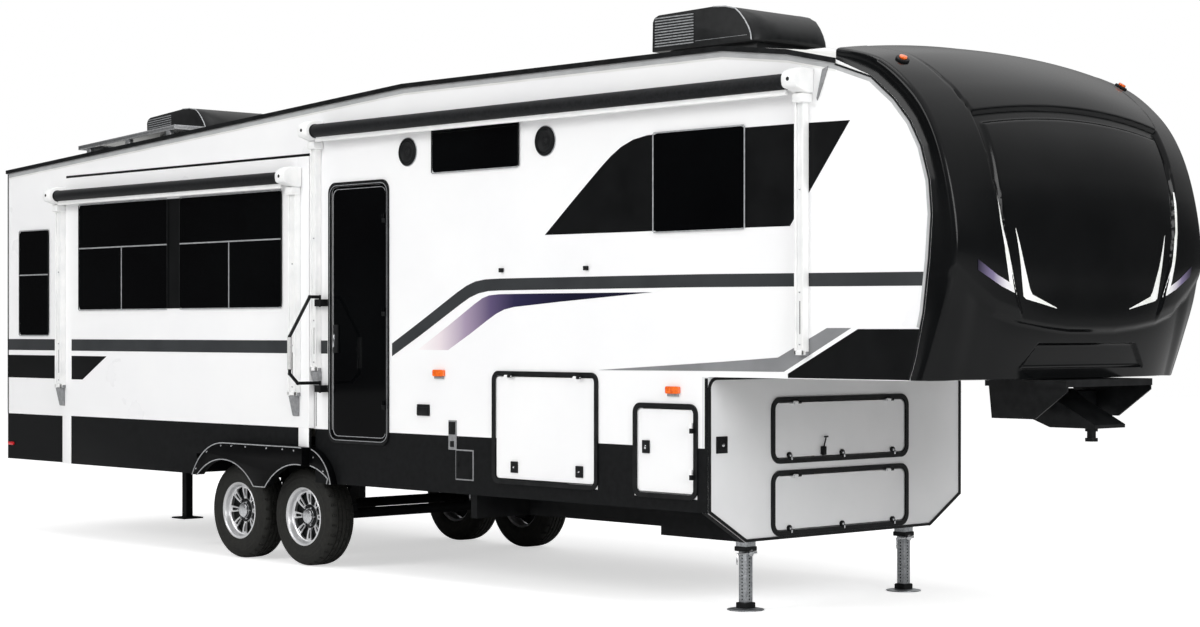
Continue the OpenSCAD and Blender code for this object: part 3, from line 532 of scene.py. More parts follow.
def capRelief(y, z):  # how far the moulding stands out there
    s = capStyle
    a = abs(y)
    side = lookUp(shoulderLine, z)
    top = 2.988 - 0.069 * (a / 0.905) ** 2
    chin = lookUp(chinLine, a)
    rise = s["shoulderRise"] * ease(side - 0.004, side + 0.010, a) * ease(chin - 0.01, chin + 0.06, z)
    hood = ease(top - 0.006, top + 0.014, z) * (1 - ease(side - 0.01, side + 0.004, a))
    rise = max(rise, s["hoodRise"] * hood * (1 - 0.45 * ease(top, top + 0.35, z)))
    grooveWide = 0.05 * ease(2.0, 2.85, z)
    inGroove = ease(top - 0.066, top - 0.046, z) if a < side - 0.02 else 0.0
    sideGroove = ease(side - grooveWide - 0.01, side - grooveWide, a) * ease(2.05, 2.25, z)
    below = 1 - ease(top - 0.010, top + 0.010, z)
    inside = 1 - ease(side - 0.008, side, a)
    rise -= s["grooveDepth"] * max(inGroove, sideGroove) * below * inside
    rise -= s["chinSet"] * (1 - ease(chin - 0.034, chin + 0.006, z)) * (1 - ease(0.98, 1.12, a))
    plateSide = 0.47 + (1.64 - z) * 0.95
    plate = ease(1.497, 1.507, z) * (1 - ease(1.632, 1.642, z)) * (1 - ease(plateSide - 0.004, plateSide + 0.008, a))
    return rise - s["plateDepth"] * plate


def capSkin(t, y):
    p = capPoint(t, y)
    step = 0.02
    alongWay = capPoint(min(t + step, len(capStations) - 1), y) - capPoint(max(t - step, 0), y)
    acrossWay = capPoint(t, min(y + 0.01, 1.19)) - capPoint(t, max(y - 0.01, -1.19))
    normal = acrossWay.cross(alongWay).normalized()
    if normal.x + normal.z * 0.5 < 0:
        normal = -normal
    return p + normal * capRelief(y, p.z), normal


def capAt(y, z):  # where the skin stands at that width and height
    low, high = 1.5, float(len(capStations) - 1)
    for _ in range(26):
        middle = (low + high) / 2
        if capPoint(middle, y).z > z:
            low = middle
        else:
            high = middle
    return capSkin(low, y)


def frontCap():
    s = capStyle
    last = len(capStations) - 1
    lip = 0.015            # share of the length that is the upright lip at the roof
    bpy.ops.object.select_all(action="DESELECT")
    bpy.ops.mesh.primitive_grid_add(x_subdivisions=s["across"], y_subdivisions=s["along"], size=2)
    cap = bpy.context.object
    for v in cap.data.vertices:
        across, along = v.co.x, (1 - v.co.y) / 2
        t = min(1.0, max(0.0, along - lip) / (s["under"] - lip)) * last
        side = -1 if across < 0 else 1
        a = abs(across)
        if a <= s["edge"]:
            p, normal = capSkin(t, side * s["half"] * (a / s["edge"]))
        else:
            u = (a - s["edge"]) / (1 - s["edge"])
            cx, cz, rx, rz, jx, jz = capStation(t)
            ridge, normal = capSkin(t, side * s["half"])
            way = Vector((lookUp(jointLine, jz) - rx, 0, jz - rz))
            turnBy = min(0.028, 0.45 * way.length)
            inward = way.normalized()
            if u < 0.35:  # the ridge itself, a quarter round
                turn = u / 0.35 * math.pi / 2
                p = ridge + inward * turnBy * (1 - math.cos(turn)) + Vector((0, side * 0.029 * math.sin(turn), 0))
            else:
                w = (u - 0.35) / 0.65
                start = ridge + inward * turnBy + Vector((0, side * 0.029, 0))
                stop = Vector((boxX + lookUp(jointLine, jz) + 0.0005, side * 1.2195, jz))
                p = start.lerp(stop, w) + Vector((0, -side * 0.008 * math.sin(math.pi * w), 0))
        if along < lip:
            w = 1 - along / lip
            p = Vector((boxX + 1.0025, p.y, p.z + (min(p.z, 3.283 - 0.02 * p.y * p.y) - p.z) * w))
        if along > s["under"]:
            w = (along - s["under"]) / (1 - s["under"])
            p = Vector((p.x + (boxX + 1.537 - p.x) * w, p.y, 1.4415 + (p.z - 1.4415) * (1 - w) ** 6))
        v.co = p
    faceOut(cap, 0, 1)
    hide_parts("front_cap")
    return settle(cap, "frontCap", "gelcoatBlack", "trailer", 50)


def capFilm(name, outer, inner, finishName, strips=2):  # a blade of film bent to the cap's face
    rows = []
    for (a, b), (c, d) in zip(zip(outer, outer[1:]), zip(inner, inner[1:])):
        steps = max(2, int(max(math.dist(a, b), math.dist(c, d)) / 0.03))
        for k in range(steps):
            w = k / steps
            rows.append([p + (q - p) * w for p, q in zip(a + c, b + d)])
    rows.append(list(outer[-1] + inner[-1]))
    bpy.ops.object.select_all(action="DESELECT")
    bpy.ops.mesh.primitive_grid_add(x_subdivisions=strips, y_subdivisions=len(rows) - 1, size=2)
    film = bpy.context.object
    for v in film.data.vertices:
        y0, z0, y1, z1 = rows[round((1 - v.co.y) / 2 * (len(rows) - 1))]
        w = (v.co.x + 1) / 2
        p, normal = capAt(y0 + (y1 - y0) * w, z0 + (z1 - z0) * w)
        v.co = p + normal * 0.0022
    faceOut(film, 0, 1)
    settle(film, name, finishName, "trailer", 60)


def capBlades():
    # the arm's colour runs outwards from the middle of the cap, so it follows the distance across
    finishes["bladeFade"] = fadeFinish("bladeFade", [(0.0, "#f2f2f0"), (0.25, "#e6e4e8"), (0.6, "#7d7394"), (1.0, "#1c1a26")], 0.74, 1.06)
    tree = finishes["bladeFade"].node_tree
    parts = next(n for n in tree.nodes if n.type == "SEPXYZ")
    run = next(n for n in tree.nodes if n.type == "MAP_RANGE" and n.inputs["From Max"].default_value > 1)
    size = addNode(tree, "ShaderNodeMath", {"operation": "ABSOLUTE"}, [(0, parts.outputs["Y"])])
    tree.links.new(size.outputs[0], run.inputs["Value"])
    blades = [
        ("capBladeOuter", "filmWhite", [(0.893, 2.552), (0.858, 2.306), (0.800, 2.105), (0.722, 1.916)],
         [(0.897, 2.550), (0.876, 2.306), (0.838, 2.120), (0.800, 1.985)]),
        ("capArm", "bladeFade", [(0.722, 1.916), (0.860, 1.962), (1.052, 2.050)], [(0.800, 1.985), (0.900, 2.025), (1.058, 2.108)]),
        ("capBladeInner", "filmWhite", [(0.742, 2.284), (0.703, 2.100), (0.664, 1.908), (0.640, 1.893), (0.360, 1.842)],
         [(0.738, 2.284), (0.670, 2.090), (0.610, 1.950), (0.585, 1.918), (0.358, 1.845)]),
    ]
    for side, word in ((-1, "Curb"), (1, "Off")):
        for name, finishName, outer, inner in blades:
            capFilm(name + word, [(side * y, z) for y, z in outer], [(side * y, z) for y, z in inner], finishName)


def clearanceLamps():  # amber lamps on their black bases at the cap's upper corners
    lenses, bases = [], []
    for side in (-1, 1):
        for t, y in ((1.18, 1.07),):
            p, normal = capSkin(t, side * y)
            bases.append(rod(p - normal * 0.004, p + normal * 0.012, 0.040, 28, 0.004))
            lenses.append(rod(p + normal * 0.011, p + normal * 0.026, 0.024, 24, 0.006))
    settle(joined(bases), "clearanceBases", "mouldedBlack", "trailer", 40)
    settle(joined(lenses), "clearanceLenses", "amberLens", "trailer", 40)


frontCap()
capBlades()
clearanceLamps()
print("cap moulded")


# windows: sash bars, edge lines and the dark strip between the slide-out's panes

sashStyle = {"wide": 0.010, "stand": 0.0035, "edge": 0.009}
# window: body, face, rear, front, sill, top, height of the level bar, upright bars below it
sashRows = [
    ("trailer", -1.228, -8.118, -7.646, 1.681, 2.561, 2.189, ()),
    ("trailer", -1.228, -2.585, -1.704, 2.790, 3.115, None, ()),
    ("trailer", -1.228, -0.453, 0.301, 2.322, 2.922, None, ()),
    ("slide_curb", -1.279, -7.067, -5.764, 1.890, 2.740, 2.388, (-6.421,)),
    ("slide_curb", -1.279, -5.583, -4.258, 1.890, 2.740, 2.388, (-4.922,)),
    ("trailer", 1.228, -7.900, -7.140, 1.950, 2.510, 2.230, ()),
    ("trailer", 1.228, -0.453, 0.301, 2.322, 2.922, None, ()),
    ("slide_off", 1.279, -4.996, -3.798, 1.890, 2.590, 2.300, (-4.397,)),
    ("slide_off", 1.279, -3.501, -2.604, 1.890, 2.590, 2.300, ()),
]


def sashes():
    s = sashStyle
    for n, (body, face, rear, front, low, top, level, uprights) in enumerate(sashRows):
        out = -1 if face < 0 else 1
        inner, outer = face - out * 0.0005, face + out * s["stand"]
        near, far = min(inner, outer), max(inner, outer)
        bars = [((rear, near, low - s["edge"]), (front, far, low)), ((rear, near, top), (front, far, top + s["edge"])),
                ((rear - s["edge"], near, low), (rear, far, top)), ((front, near, low), (front + s["edge"], far, top))]
        if level:
            bars.append(((rear, near, level - s["wide"] / 2), (front, far, level + s["wide"] / 2)))
            bars += [((x - s["wide"] / 2, near, low), (x + s["wide"] / 2, far, level - s["wide"] / 2)) for x in uprights]
        made = [block((boxX + a[0], a[1] if k > 3 or out > 0 else a[1], a[2]), (boxX + b[0], b[1], b[2]), 0.001, 1)
                for k, (a, b) in enumerate(bars)]
        settle(joined(made[2:4]), f"sashSides{n}", "satinBarAndHighlight" if n == 2 else "mouldedBlack", body, 0)
        settle(joined(made[:2]), f"sashEdges{n}", "satinBarAndHighlight", body, 0)
        if level:
            settle(joined(made[4:]), f"sashBars{n}", "satinBarAndHighlight", body, 0)


# satin aluminium for sash bars, rings and cell lines; the same pale grey also makes painted highlight strips along the
# door's edges, the arch mouldings' lips and the roof units' curved edges
finishes["satinBarAndHighlight"] = painted("satinBarAndHighlight", "#b9bbbd", "#9c9ea1", 30, (0.34, 0.46), 1.5, 0.03, metal=0.4)
sashes()
strip = ribbon([(-5.764, 2.740), (-5.583, 2.740)], [(-5.764, 1.890), (-5.583, 1.890)], -slideY, 0.004)
settle(strip, "mullionCurb", "filmBlack", "slide_curb", 0)
print("windows barred")


# outside loudspeakers: a rolled ring, a soft surround and a dished cone

speakerStyle = {"ring": 0.096, "steps": 48,
                "profile": [(0.096, 0.0), (0.096, 0.008), (0.090, 0.013), (0.082, 0.013), (0.078, 0.008), (0.074, 0.010), (0.066, 0.012),
                            (0.058, 0.008), (0.040, 0.002), (0.026, 0.001), (0.024, 0.004), (0.014, 0.008), (0.0005, 0.010)]}


def turned(profile, centre, axis, steps=48):
    # a profile of (radius, way along the axis) spun about an axis through centre: curb side is -Y, front +X
    ahead = Vector(axis)
    across = Vector((0, 0, 1)) if abs(ahead.z) < 0.5 else Vector((1, 0, 0))
    bpy.ops.object.select_all(action="DESELECT")
    bpy.ops.mesh.primitive_grid_add(x_subdivisions=len(profile) - 1, y_subdivisions=1, size=1)
    obj = bpy.context.object
    order = sorted({round(v.co.x, 4) for v in obj.data.vertices})
    for v in obj.data.vertices:
        radius, way = profile[order.index(round(v.co.x, 4))]
        v.co = Vector(centre) + across * radius + ahead * way
    only(obj)
    bpy.ops.object.mode_set(mode="EDIT")
    bpy.ops.mesh.select_all(action="SELECT")
    bpy.ops.mesh.remove_doubles(threshold=0.00001)
    bpy.ops.mesh.select_all(action="SELECT")
    bpy.ops.mesh.delete(type="ONLY_FACE")
    bpy.ops.mesh.select_all(action="SELECT")
    bpy.ops.mesh.spin(steps=steps, angle=math.radians(360), center=centre, axis=ahead)
    bpy.ops.mesh.select_all(action="SELECT")
    bpy.ops.mesh.remove_doubles(threshold=0.00002)
    bpy.ops.mesh.normals_make_consistent(inside=False)
    bpy.ops.object.mode_set(mode="OBJECT")
    return obj


for n, (x, z) in enumerate([(-2.855, 2.946), (-1.447, 2.938)]):
    speaker = turned(speakerStyle["profile"], (boxX + x, -wallY, z), (0, -1, 0))
    settle(speaker, f"speaker{n}", "mouldedBlack", "trailer", 30)
    ring = turned([(0.100, 0.0), (0.100, 0.004), (0.097, 0.006), (0.094, 0.006)], (boxX + x, -wallY, z), (0, -1, 0))
    settle(ring, f"speakerRing{n}", "satinBarAndHighlight", "trailer", 30)
print("speakers fitted")


# fittings on the curb side; one row each: name, body, finish, slot, rear, front, low, top, way out, how far proud

fitRows = [
    ("slidePostRear", "slide_curb", "gelcoatWhite", "wall_white", -7.335, -7.199, 0.624, 1.017, 1.271, 0.004),
    ("slidePostFront", "slide_curb", "gelcoatWhite", "wall_white", -4.049, -3.925, 0.800, 1.017, 1.271, 0.004),
    ("slideTrimTop", "trailer", "filmBlack", "black_trim", -7.360, -3.890, 2.977, 3.000, 1.220, 0.006),
    ("slideTrimSide", "trailer", "filmBlack", "black_trim", -3.910, -3.904, 1.030, 2.985, 1.220, 0.002),
    ("rearCorner", "trailer", "powderBlack", "black_trim", -8.330, -8.316, 1.010, 3.060, 1.220, 0.004),
    ("rearCornerOff", "trailer", "powderBlack", "black_trim", -8.330, -8.316, 1.010, 3.060, -1.220, 0.004),
    ("socketBody", "trailer", "mouldedBlack", "black_trim", -2.746, -2.617, 1.137, 1.215, 1.220, 0.012),
    ("socketLid", "trailer", "mouldedBlack", "black_trim", -2.738, -2.625, 1.145, 1.196, 1.220, 0.020),
    ("outletPlate", "trailer", "footGreyAndShadow", "zinc", -2.416, -2.332, 0.916, 1.115, 1.220, 0.006),
    ("outletUpper", "trailer", "mouldedBlack", "black_trim", -2.406, -2.342, 1.020, 1.105, 1.220, 0.014),
    ("outletLower", "trailer", "mouldedBlack", "black_trim", -2.392, -2.356, 0.935, 0.975, 1.220, 0.012),
    ("hatchFrame", "trailer", "footGreyAndShadow", "zinc", -2.342, -2.156, 0.716, 0.922, 1.220, 0.005),
    ("hatchLid", "trailer", "skirtSheet", "skirt_black", -2.333, -2.165, 0.725, 0.913, 1.220, 0.009),
    ("hatchCatch", "trailer", "mouldedBlack", "black_trim", -2.322, -2.308, 0.805, 0.835, 1.220, 0.014),
    ("catchRear", "trailer", "mouldedBlack", "black_trim", -1.884, -1.852, 2.100, 2.128, 1.220, 0.022),
    ("catchFront", "trailer", "mouldedBlack", "black_trim", -1.073, -1.041, 2.098, 2.126, 1.220, 0.022),
    ("bagLatchRear", "baggage_door_large", "mouldedBlack", "black_trim", -1.776, -1.712, 0.790, 0.864, 1.220, 0.012),
    ("bagLatchFront", "baggage_door_large", "mouldedBlack", "black_trim", -1.154, -1.090, 0.786, 0.860, 1.220, 0.012),
    ("bagLatchSmall", "baggage_door_small", "mouldedBlack", "black_trim", -0.552, -0.492, 0.965, 1.045, 1.220, 0.012),
    ("bagKeyRear", "baggage_door_large", "polishedSteel", "zinc", -1.751, -1.737, 0.820, 0.834, 1.220, 0.015),
    ("bagKeyFront", "baggage_door_large", "polishedSteel", "zinc", -1.129, -1.115, 0.816, 0.830, 1.220, 0.015),
    ("bagKeySmall", "baggage_door_small", "polishedSteel", "zinc", -0.530, -0.514, 0.990, 1.016, 1.220, 0.015),
    ("lampBaseRear", "trailer", "footGreyAndShadow", "zinc", -2.556, -2.466, 1.392, 1.409, 1.220, 0.016),
    ("lampBaseFront", "trailer", "footGreyAndShadow", "zinc", -0.331, -0.241, 1.318, 1.335, 1.220, 0.016),
    ("sideRed", "trailer", "redLens", "red_lens", -8.306, -8.218, 0.740, 0.768, 1.220, 0.016),
    ("sideRedOff", "trailer", "redLens", "red_lens", -8.306, -8.218, 0.740, 0.768, -1.220, 0.016),
    ("doorHandle", "entry_door", "mouldedBlack", "black_trim", -3.690, -3.640, 1.560, 1.760, 1.220, 0.014),
    ("doorPaddle", "entry_door", "polishedSteel", "zinc", -3.684, -3.668, 1.600, 1.690, 1.220, 0.024),
]
# cast aluminium feet and plates, unpainted grey; the same grey also makes the painted shadow below the awning arms'
# ends
finishes["footGreyAndShadow"] = painted("footGreyAndShadow", "#8f9092", "#77787a", 25, (0.4, 0.55), 3, 0.1)
# light grey strip under the roof rail and behind the cap's edge: a rail strip under the roof rail, painted shadow of
# the cap's edge along the joint
finishes["stripGreyAndShadow"] = painted("stripGreyAndShadow", "#bcbdbe", "#b0b1b2", 120, (0.4, 0.55), 4, 0.05, shine=0.3)


def sideFittings():
    for name, body, finishName, slotName, rear, front, low, top, way, proud in fitRows:
        side = 1 if way < 0 else -1
        ys = sorted((side * (abs(way) + 0.0003), side * (abs(way) + proud)))
        made = block((boxX + rear, ys[0], low), (boxX + front, ys[1], top), min(0.003, proud * 0.45))
        settle(made, name, finishName, body, 30)


def roundedRun(x0, z0, x1, z1, r):  # closed run round a rounded rectangle, the inside on its left
    run = arc(x1 - r, z0 + r, r, -90, 0, 5) + arc(x1 - r, z1 - r, r, 0, 90, 5) + arc(x0 + r, z1 - r, r, 90, 180, 5) + arc(x0 + r, z0 + r, r, 180, 270, 5)
    return run + run[:1]


def sideLines():
    # painted highlights: pale strips along the edges of the entry door's frame and leaf. And the light grey strip from
    # the tail over the roof's edge down the cap: a rail strip along the roof, painted shadow where it runs along the
    # cap joint
    edgeTrim("doorFrameHighlight", roundedRun(-3.735, 0.938, -3.070, 2.752, 0.075), -1.2325, 0.004, 0.001, 1, -1, "trailer", "satinBarAndHighlight")
    edgeTrim("doorLeafHighlight", roundedRun(-3.704, 0.966, -3.096, 2.724, 0.055), -1.2205, 0.004, 0.003, 1, -1, "entry_door", "satinBarAndHighlight")
    edge = [(-8.330, 3.063), (-2.900, 3.388), (0.120, 3.378), (0.640, 3.313), (1.000, 3.233), (1.265, 3.140), (1.430, 3.005), (1.543, 2.875),
            (1.622, 2.733), (1.678, 2.543), (1.694, 2.354), (1.675, 2.104), (1.638, 1.817), (1.575, 1.553), (1.534, 1.442)]
    for side, word in ((-1, "Curb"), (1, "Off")):
        # grey strip: painted shadow along the cap joint, a rail strip along the roof
        edgeTrim("jointStripAndShadow" + word, (edge[:13] + [(1.616, 1.728)])[::-1], side * 1.2202, 0.034, 0.0015, 1, side, "trailer", "stripGreyAndShadow")
        edgeTrim("capTrim" + word, edge[4:][::-1], side * 1.2204, 0.011, 0.005, 1, side, "trailer", "powderBlack")


def wheelWells():
    # steel liners behind the tyres close the view under the floor
    for side, word in ((-1, "Curb"), (1, "Off")):
        ys = sorted((side * 0.862, side * 0.868))
        inner = block((boxX - 5.480, ys[0], 0.600), (boxX - 3.600, ys[1], 0.950), 0.001, 1)
        ends = [block((boxX + x, min(side * 0.865, side * 1.212), 0.625), (boxX + x + 0.006, max(side * 0.865, side * 1.212), 0.950), 0.001, 1)
                for x in (-5.480, -3.606)]
        lid = block((boxX - 5.478, min(side * 0.866, side * 1.212), 0.884), (boxX - 3.602, max(side * 0.866, side * 1.212), 0.890), 0.001, 1)
        settle(joined([inner, lid] + ends), "wheelWell" + word, "chassisPaint", "trailer", 30)


def armFeet():
    grip = rod((boxX - 3.803, -1.530, 1.442), (boxX - 3.803, -1.530, 1.672), 0.0172, 24, 0.002)
    settle(grip, "foamGrip", "foamGrey", "assist_handle", 30)
    brace = plate([(boxX + x, z) for x, z in [(0.905, 3.205), (0.950, 3.222), (0.905, 3.110), (0.868, 3.030), (0.862, 3.045)]], 1, -1.2265, 0.006, 0.001)
    settle(brace, "headBrace", "footGreyAndShadow", "trailer", 30)
    # grey triangles below the arms' lower ends, built as gusset plates: painted shadow of the arm ends on the wall
    for name, x, z, body, face in (("armShadowSlideRear", -7.375, 1.247, "slide_curb", -1.271), ("armShadowSlideFront", -4.115, 1.247, "slide_curb", -1.271),
                                   ("armShadowPatioRear", -3.915, 1.425, "trailer", -1.220)):
        made = plate([(face - 0.046, z), (face - 0.0005, z), (face - 0.0005, z - 0.150), (face - 0.010, z - 0.145)], 0, boxX + x, 0.075, 0.003)
        settle(made, name, "footGreyAndShadow", body, 30)


def blackSheets():
    # skirt sheet carried forward round the small door, black corner of the front box and its tray
    notched = [(-1.250, 0.623), (-0.003, 0.623), (-0.003, 1.010), (-0.088, 1.010), (-0.088, 0.701), (-0.627, 0.701), (-0.627, 1.010),
               (-0.957, 1.010), (-0.957, 0.719), (-1.250, 0.719)]
    plain = [(-1.250, 0.623), (-0.003, 0.623), (-0.003, 1.010), (-1.250, 1.010)]
    made = [plate([(boxX + x, z) for x, z in notched], 1, -1.2215, 0.0012), plate([(boxX + x, z) for x, z in plain], 1, 1.2203, 0.0012)]
    settle(joined(made), "skirtForward", "skirtSheet", "trailer", 0)
    tray = []
    for side in (-1, 1):
        ys = sorted((side * 0.8953, side * 0.8968))
        tray.append(block((boxX - 0.720, ys[0], 0.4305), (boxX - 0.052, ys[1], 0.6215), 0.0004, 1))
        chamfer = [(side * 0.8952, 0.4297), (side * 1.2204, 0.6226), (side * 1.2212, 0.6210), (side * 0.8958, 0.4279)]
        tray.append(plate(chamfer, 0, boxX - 0.0495, 0.0490))
        ys = sorted((side * 1.2203, side * 1.2216))
        tray.append(block((boxX - 0.026, ys[0], 0.623), (boxX + 0.001, ys[1], 1.432), 0.0004, 1))
    settle(joined(tray), "trayBlack", "skirtSheet", "trailer", 0)


sideFittings()
sideLines()
blackSheets()
wheelWells()
armFeet()
print("side fittings made")


# wheels: one tyre and one alloy rim are made for the right side, then copied to all four places

wheelStyle = {"front": -0.920, "gap": 0.815, "half": 1.055, "up": 0.360, "steps": 120, "spokes": 8, "groove": 0.007, "sipe": 0.0055}
tyreOutside = [  # radius and way out from the middle plane, from the bead over the wall to the tread's middle
    (0.2030, 0.0900), (0.2060, 0.0970), (0.2120, 0.1020), (0.2190, 0.1050), (0.2280, 0.1072), (0.2310, 0.1092), (0.2450, 0.1112),
    (0.2620, 0.1122), (0.2780, 0.1118), (0.2795, 0.1124), (0.2900, 0.1112), (0.3000, 0.1102), (0.3015, 0.1114), (0.3120, 0.1100),
    (0.3220, 0.1068), (0.3340, 0.1020), (0.3420, 0.0970), (0.3500, 0.0890), (0.3555, 0.0770), (0.3580, 0.0640), (0.3588, 0.0560),
    (0.3515, 0.0545), (0.3515, 0.0470), (0.3593, 0.0455), (0.3597, 0.0225), (0.3520, 0.0210), (0.3520, 0.0140), (0.3598, 0.0125),
]
rimOutside = [
    (0.2025, 0.0925), (0.2150, 0.0935), (0.2152, 0.0985), (0.2135, 0.1030), (0.2085, 0.1045), (0.2020, 0.1020), (0.1965, 0.0960),
    (0.1935, 0.0880), (0.1905, 0.0760), (0.1880, 0.0650), (0.1850, 0.0585), (0.1760, 0.0535), (0.1600, 0.0545), (0.1400, 0.0530),
    (0.1150, 0.0500), (0.0950, 0.0455), (0.0880, 0.0440), (0.0780, 0.0445), (0.0660, 0.0500), (0.0560, 0.0540),
]


def pickFaces(obj, test):  # leaves edit mode with just the faces chosen that pass the test on their centre
    bpy.ops.object.mode_set(mode="EDIT")
    bpy.ops.mesh.select_all(action="DESELECT")
    bpy.ops.mesh.select_mode(type="FACE")
    bpy.ops.object.mode_set(mode="OBJECT")
    for p in obj.data.polygons:
        p.select = test(p.center)
    bpy.ops.object.mode_set(mode="EDIT")


def tyreShape():
    s = wheelStyle
    profile = tyreOutside + [(r, -w) for r, w in tyreOutside[::-1]]
    tyre = turned(profile, (0, 0, 0), (0, -1, 0), s["steps"])
    turn = 2 * math.pi / s["steps"]

    def sipe(c):
        step = int((math.atan2(c.x, c.z) % (2 * math.pi)) / turn)
        radius = math.hypot(c.x, c.z)
        shift = 2 if abs(c.y) < 0.06 else 0
        return radius > 0.3425 and (step + shift) % 4 == 0 and (0.0640 < abs(c.y) < 0.098 or 0.024 < abs(c.y) < 0.044)
    pickFaces(tyre, sipe)
    bpy.ops.mesh.inset(thickness=0.0032, depth=-s["sipe"], use_individual=True)
    bpy.ops.object.mode_set(mode="OBJECT")
    return tyre


def rimShape():
    s = wheelStyle
    rim = turned(rimOutside, (0, 0, 0), (0, -1, 0), s["steps"])
    pitch = 2 * math.pi / s["spokes"]

    def window(c):
        radius = math.hypot(c.x, c.z)
        across = abs((math.atan2(c.x, c.z) % pitch) - pitch / 2)
        return 0.086 < radius < 0.172 and across < math.radians(14.8)
    pickFaces(rim, window)
    bpy.ops.mesh.delete(type="FACE")
    bpy.ops.object.mode_set(mode="OBJECT")
    modify(rim, "SOLIDIFY", thickness=0.012, offset=-1.0)

    def groove(c):
        radius = math.hypot(c.x, c.z)
        across = (math.atan2(c.x, c.z) + pitch / 2) % pitch - pitch / 2
        return 0.098 < radius < 0.172 and abs(across) < math.radians(5.0) and c.y < -0.0455
    pickFaces(rim, groove)
    bpy.ops.mesh.inset(thickness=0.002, depth=-s["groove"], use_individual=False)
    bpy.ops.object.mode_set(mode="OBJECT")
    modify(rim, "BEVEL", width=0.0012, segments=2, limit_method="ANGLE", angle_limit=math.radians(32))
    barrel = turned([(0.2025, 0.0925), (0.1960, 0.0860), (0.1920, 0.0600), (0.1890, 0.0), (0.1890, -0.0800), (0.2025, -0.0925)],
                    (0, 0, 0), (0, -1, 0), 72)
    modify(barrel, "SOLIDIFY", thickness=0.004, offset=1.0)
    return joined([barrel, rim])


def capShape():  # centre cap and nuts
    cap = turned([(0.0540, 0.0520), (0.0535, 0.0660), (0.0495, 0.0700), (0.0345, 0.0712), (0.0330, 0.0735), (0.0170, 0.0745), (0.0004, 0.0748)],
                 (0, 0, 0), (0, -1, 0), 36)
    nuts = []
    for k in range(6):
        a = math.radians(60 * k + 30)
        nut = rod((0.0700 * math.sin(a), -0.0475, 0.0700 * math.cos(a)), (0.0700 * math.sin(a), -0.0660, 0.0700 * math.cos(a)), 0.0085, 6, 0.0015)
        nuts.append(nut)
    return joined(nuts + [cap])


def pocketShape():  # dark painted floor of each groove and of the hub, and a black disc behind the spoke windows: painted shade of the barrel
    parts = []
    for k in range(wheelStyle["spokes"]):
        a = math.radians(45 * k)
        bpy.ops.object.select_all(action="DESELECT")
        bpy.ops.mesh.primitive_grid_add(x_subdivisions=2, y_subdivisions=8, size=1)
        plate = bpy.context.object
        for v in plate.data.vertices:
            r = 0.1010 + (v.co.y + 0.5) * 0.062
            turn = a + v.co.x * math.radians(7.6)
            depth = 0.0455 + 0.009 * min(1.0, (r - 0.095) / 0.045) - wheelStyle["groove"] + 0.0012
            v.co = (r * math.sin(turn), -depth, r * math.cos(turn))
        faceOut(plate, 1, -1)
        parts.append(plate)
    # black disc behind the spoke windows: painted shade inside the barrel
    barrelShade = turned([(0.1860, 0.0180), (0.1850, 0.0240), (0.1400, 0.0265), (0.0900, 0.0300)], (0, 0, 0), (0, -1, 0), 48)
    hub = turned([(0.0870, 0.0452), (0.0790, 0.0458), (0.0670, 0.0512), (0.0480, 0.0556)], (0, 0, 0), (0, -1, 0), 48)
    parts += [hub, barrelShade]
    return joined(parts)


def wheels():
    s = wheelStyle
    shapes = [("tyre", tyreShape(), "tyreRubber", "tyre", 26), ("rim", rimShape(), "machinedAlloy", "alloy", 32),
              ("hubCap", capShape(), "polishedSteel", "alloy", 30), ("rimPaintAndShade", pocketShape(), "mouldedBlack", "black_trim", 30)]
    for word, master, finishName, slotName, angle in shapes:
        for end, x in (("r", s["front"] - s["gap"]), ("f", s["front"])):
            for side, y in (("r", -s["half"]), ("l", s["half"])):
                only(master)
                bpy.ops.object.duplicate()
                piece = bpy.context.object
                piece.data = piece.data.copy() if piece.data.users > 1 else piece.data
                if side == "l":
                    piece.rotation_euler = (0, 0, math.pi)
                piece.location = (x, y, s["up"])
                if word in ("tyre", "rim"):
                    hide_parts(f"{word}_{end}{side}")
                settle(piece, f"{word}{end.upper()}{side.upper()}", finishName, f"wheel_{end}{side}", angle)
        only(master)
        bpy.ops.object.delete()


wheels()
print("wheels made")


# wheel arch mouldings: one outline over both wheels, split where the slide-out's skirt ends

fenderStyle = {"end": (-5.330, -3.672), "low": 0.623, "rear": (-4.918, 0.423, 0.458, 154.1), "front": (-3.975, 0.554, 0.327, 12.2),
               "arch": (0.520, 0.238), "rearArch": (-4.917, 132.2, 40.4), "frontArch": (-3.985, 139.6, 55.0), "highlightBead": 0.007}
# glossy black sheet, made darker and almost without sheen: painted shade of the body over the arches
finishes["archBlackInShade"] = painted("archBlackInShade", "#070809", "#030304", 60, (0.3, 0.45), 40, 0.05, shine=0.06)


def fenderTop():
    s = fenderStyle
    x, z, r, low = s["rear"]
    fx, fz, fr, foot = s["front"]
    return [(s["end"][1], s["low"])] + arc(fx, fz, fr, foot, 90, 10) + arc(x, z, r, 90, low, 10) + [(s["end"][0], s["low"])]


def fenderArches():
    s = fenderStyle
    wide, up = s["arch"]
    (rear, a, b), (front, c, d) = s["rearArch"], s["frontArch"]
    return arc(rear, up, wide, a, b, 20), arc(front, up, wide, c, d, 20) + [(-3.700, s["low"])]


def fenderPlate(face, depth):  # face is the outer Y on the curb side
    rear, front = fenderArches()
    outline = [(boxX + x, z) for x, z in fenderTop() + rear + front]
    return plate(outline, 1, face, depth, 0.004)


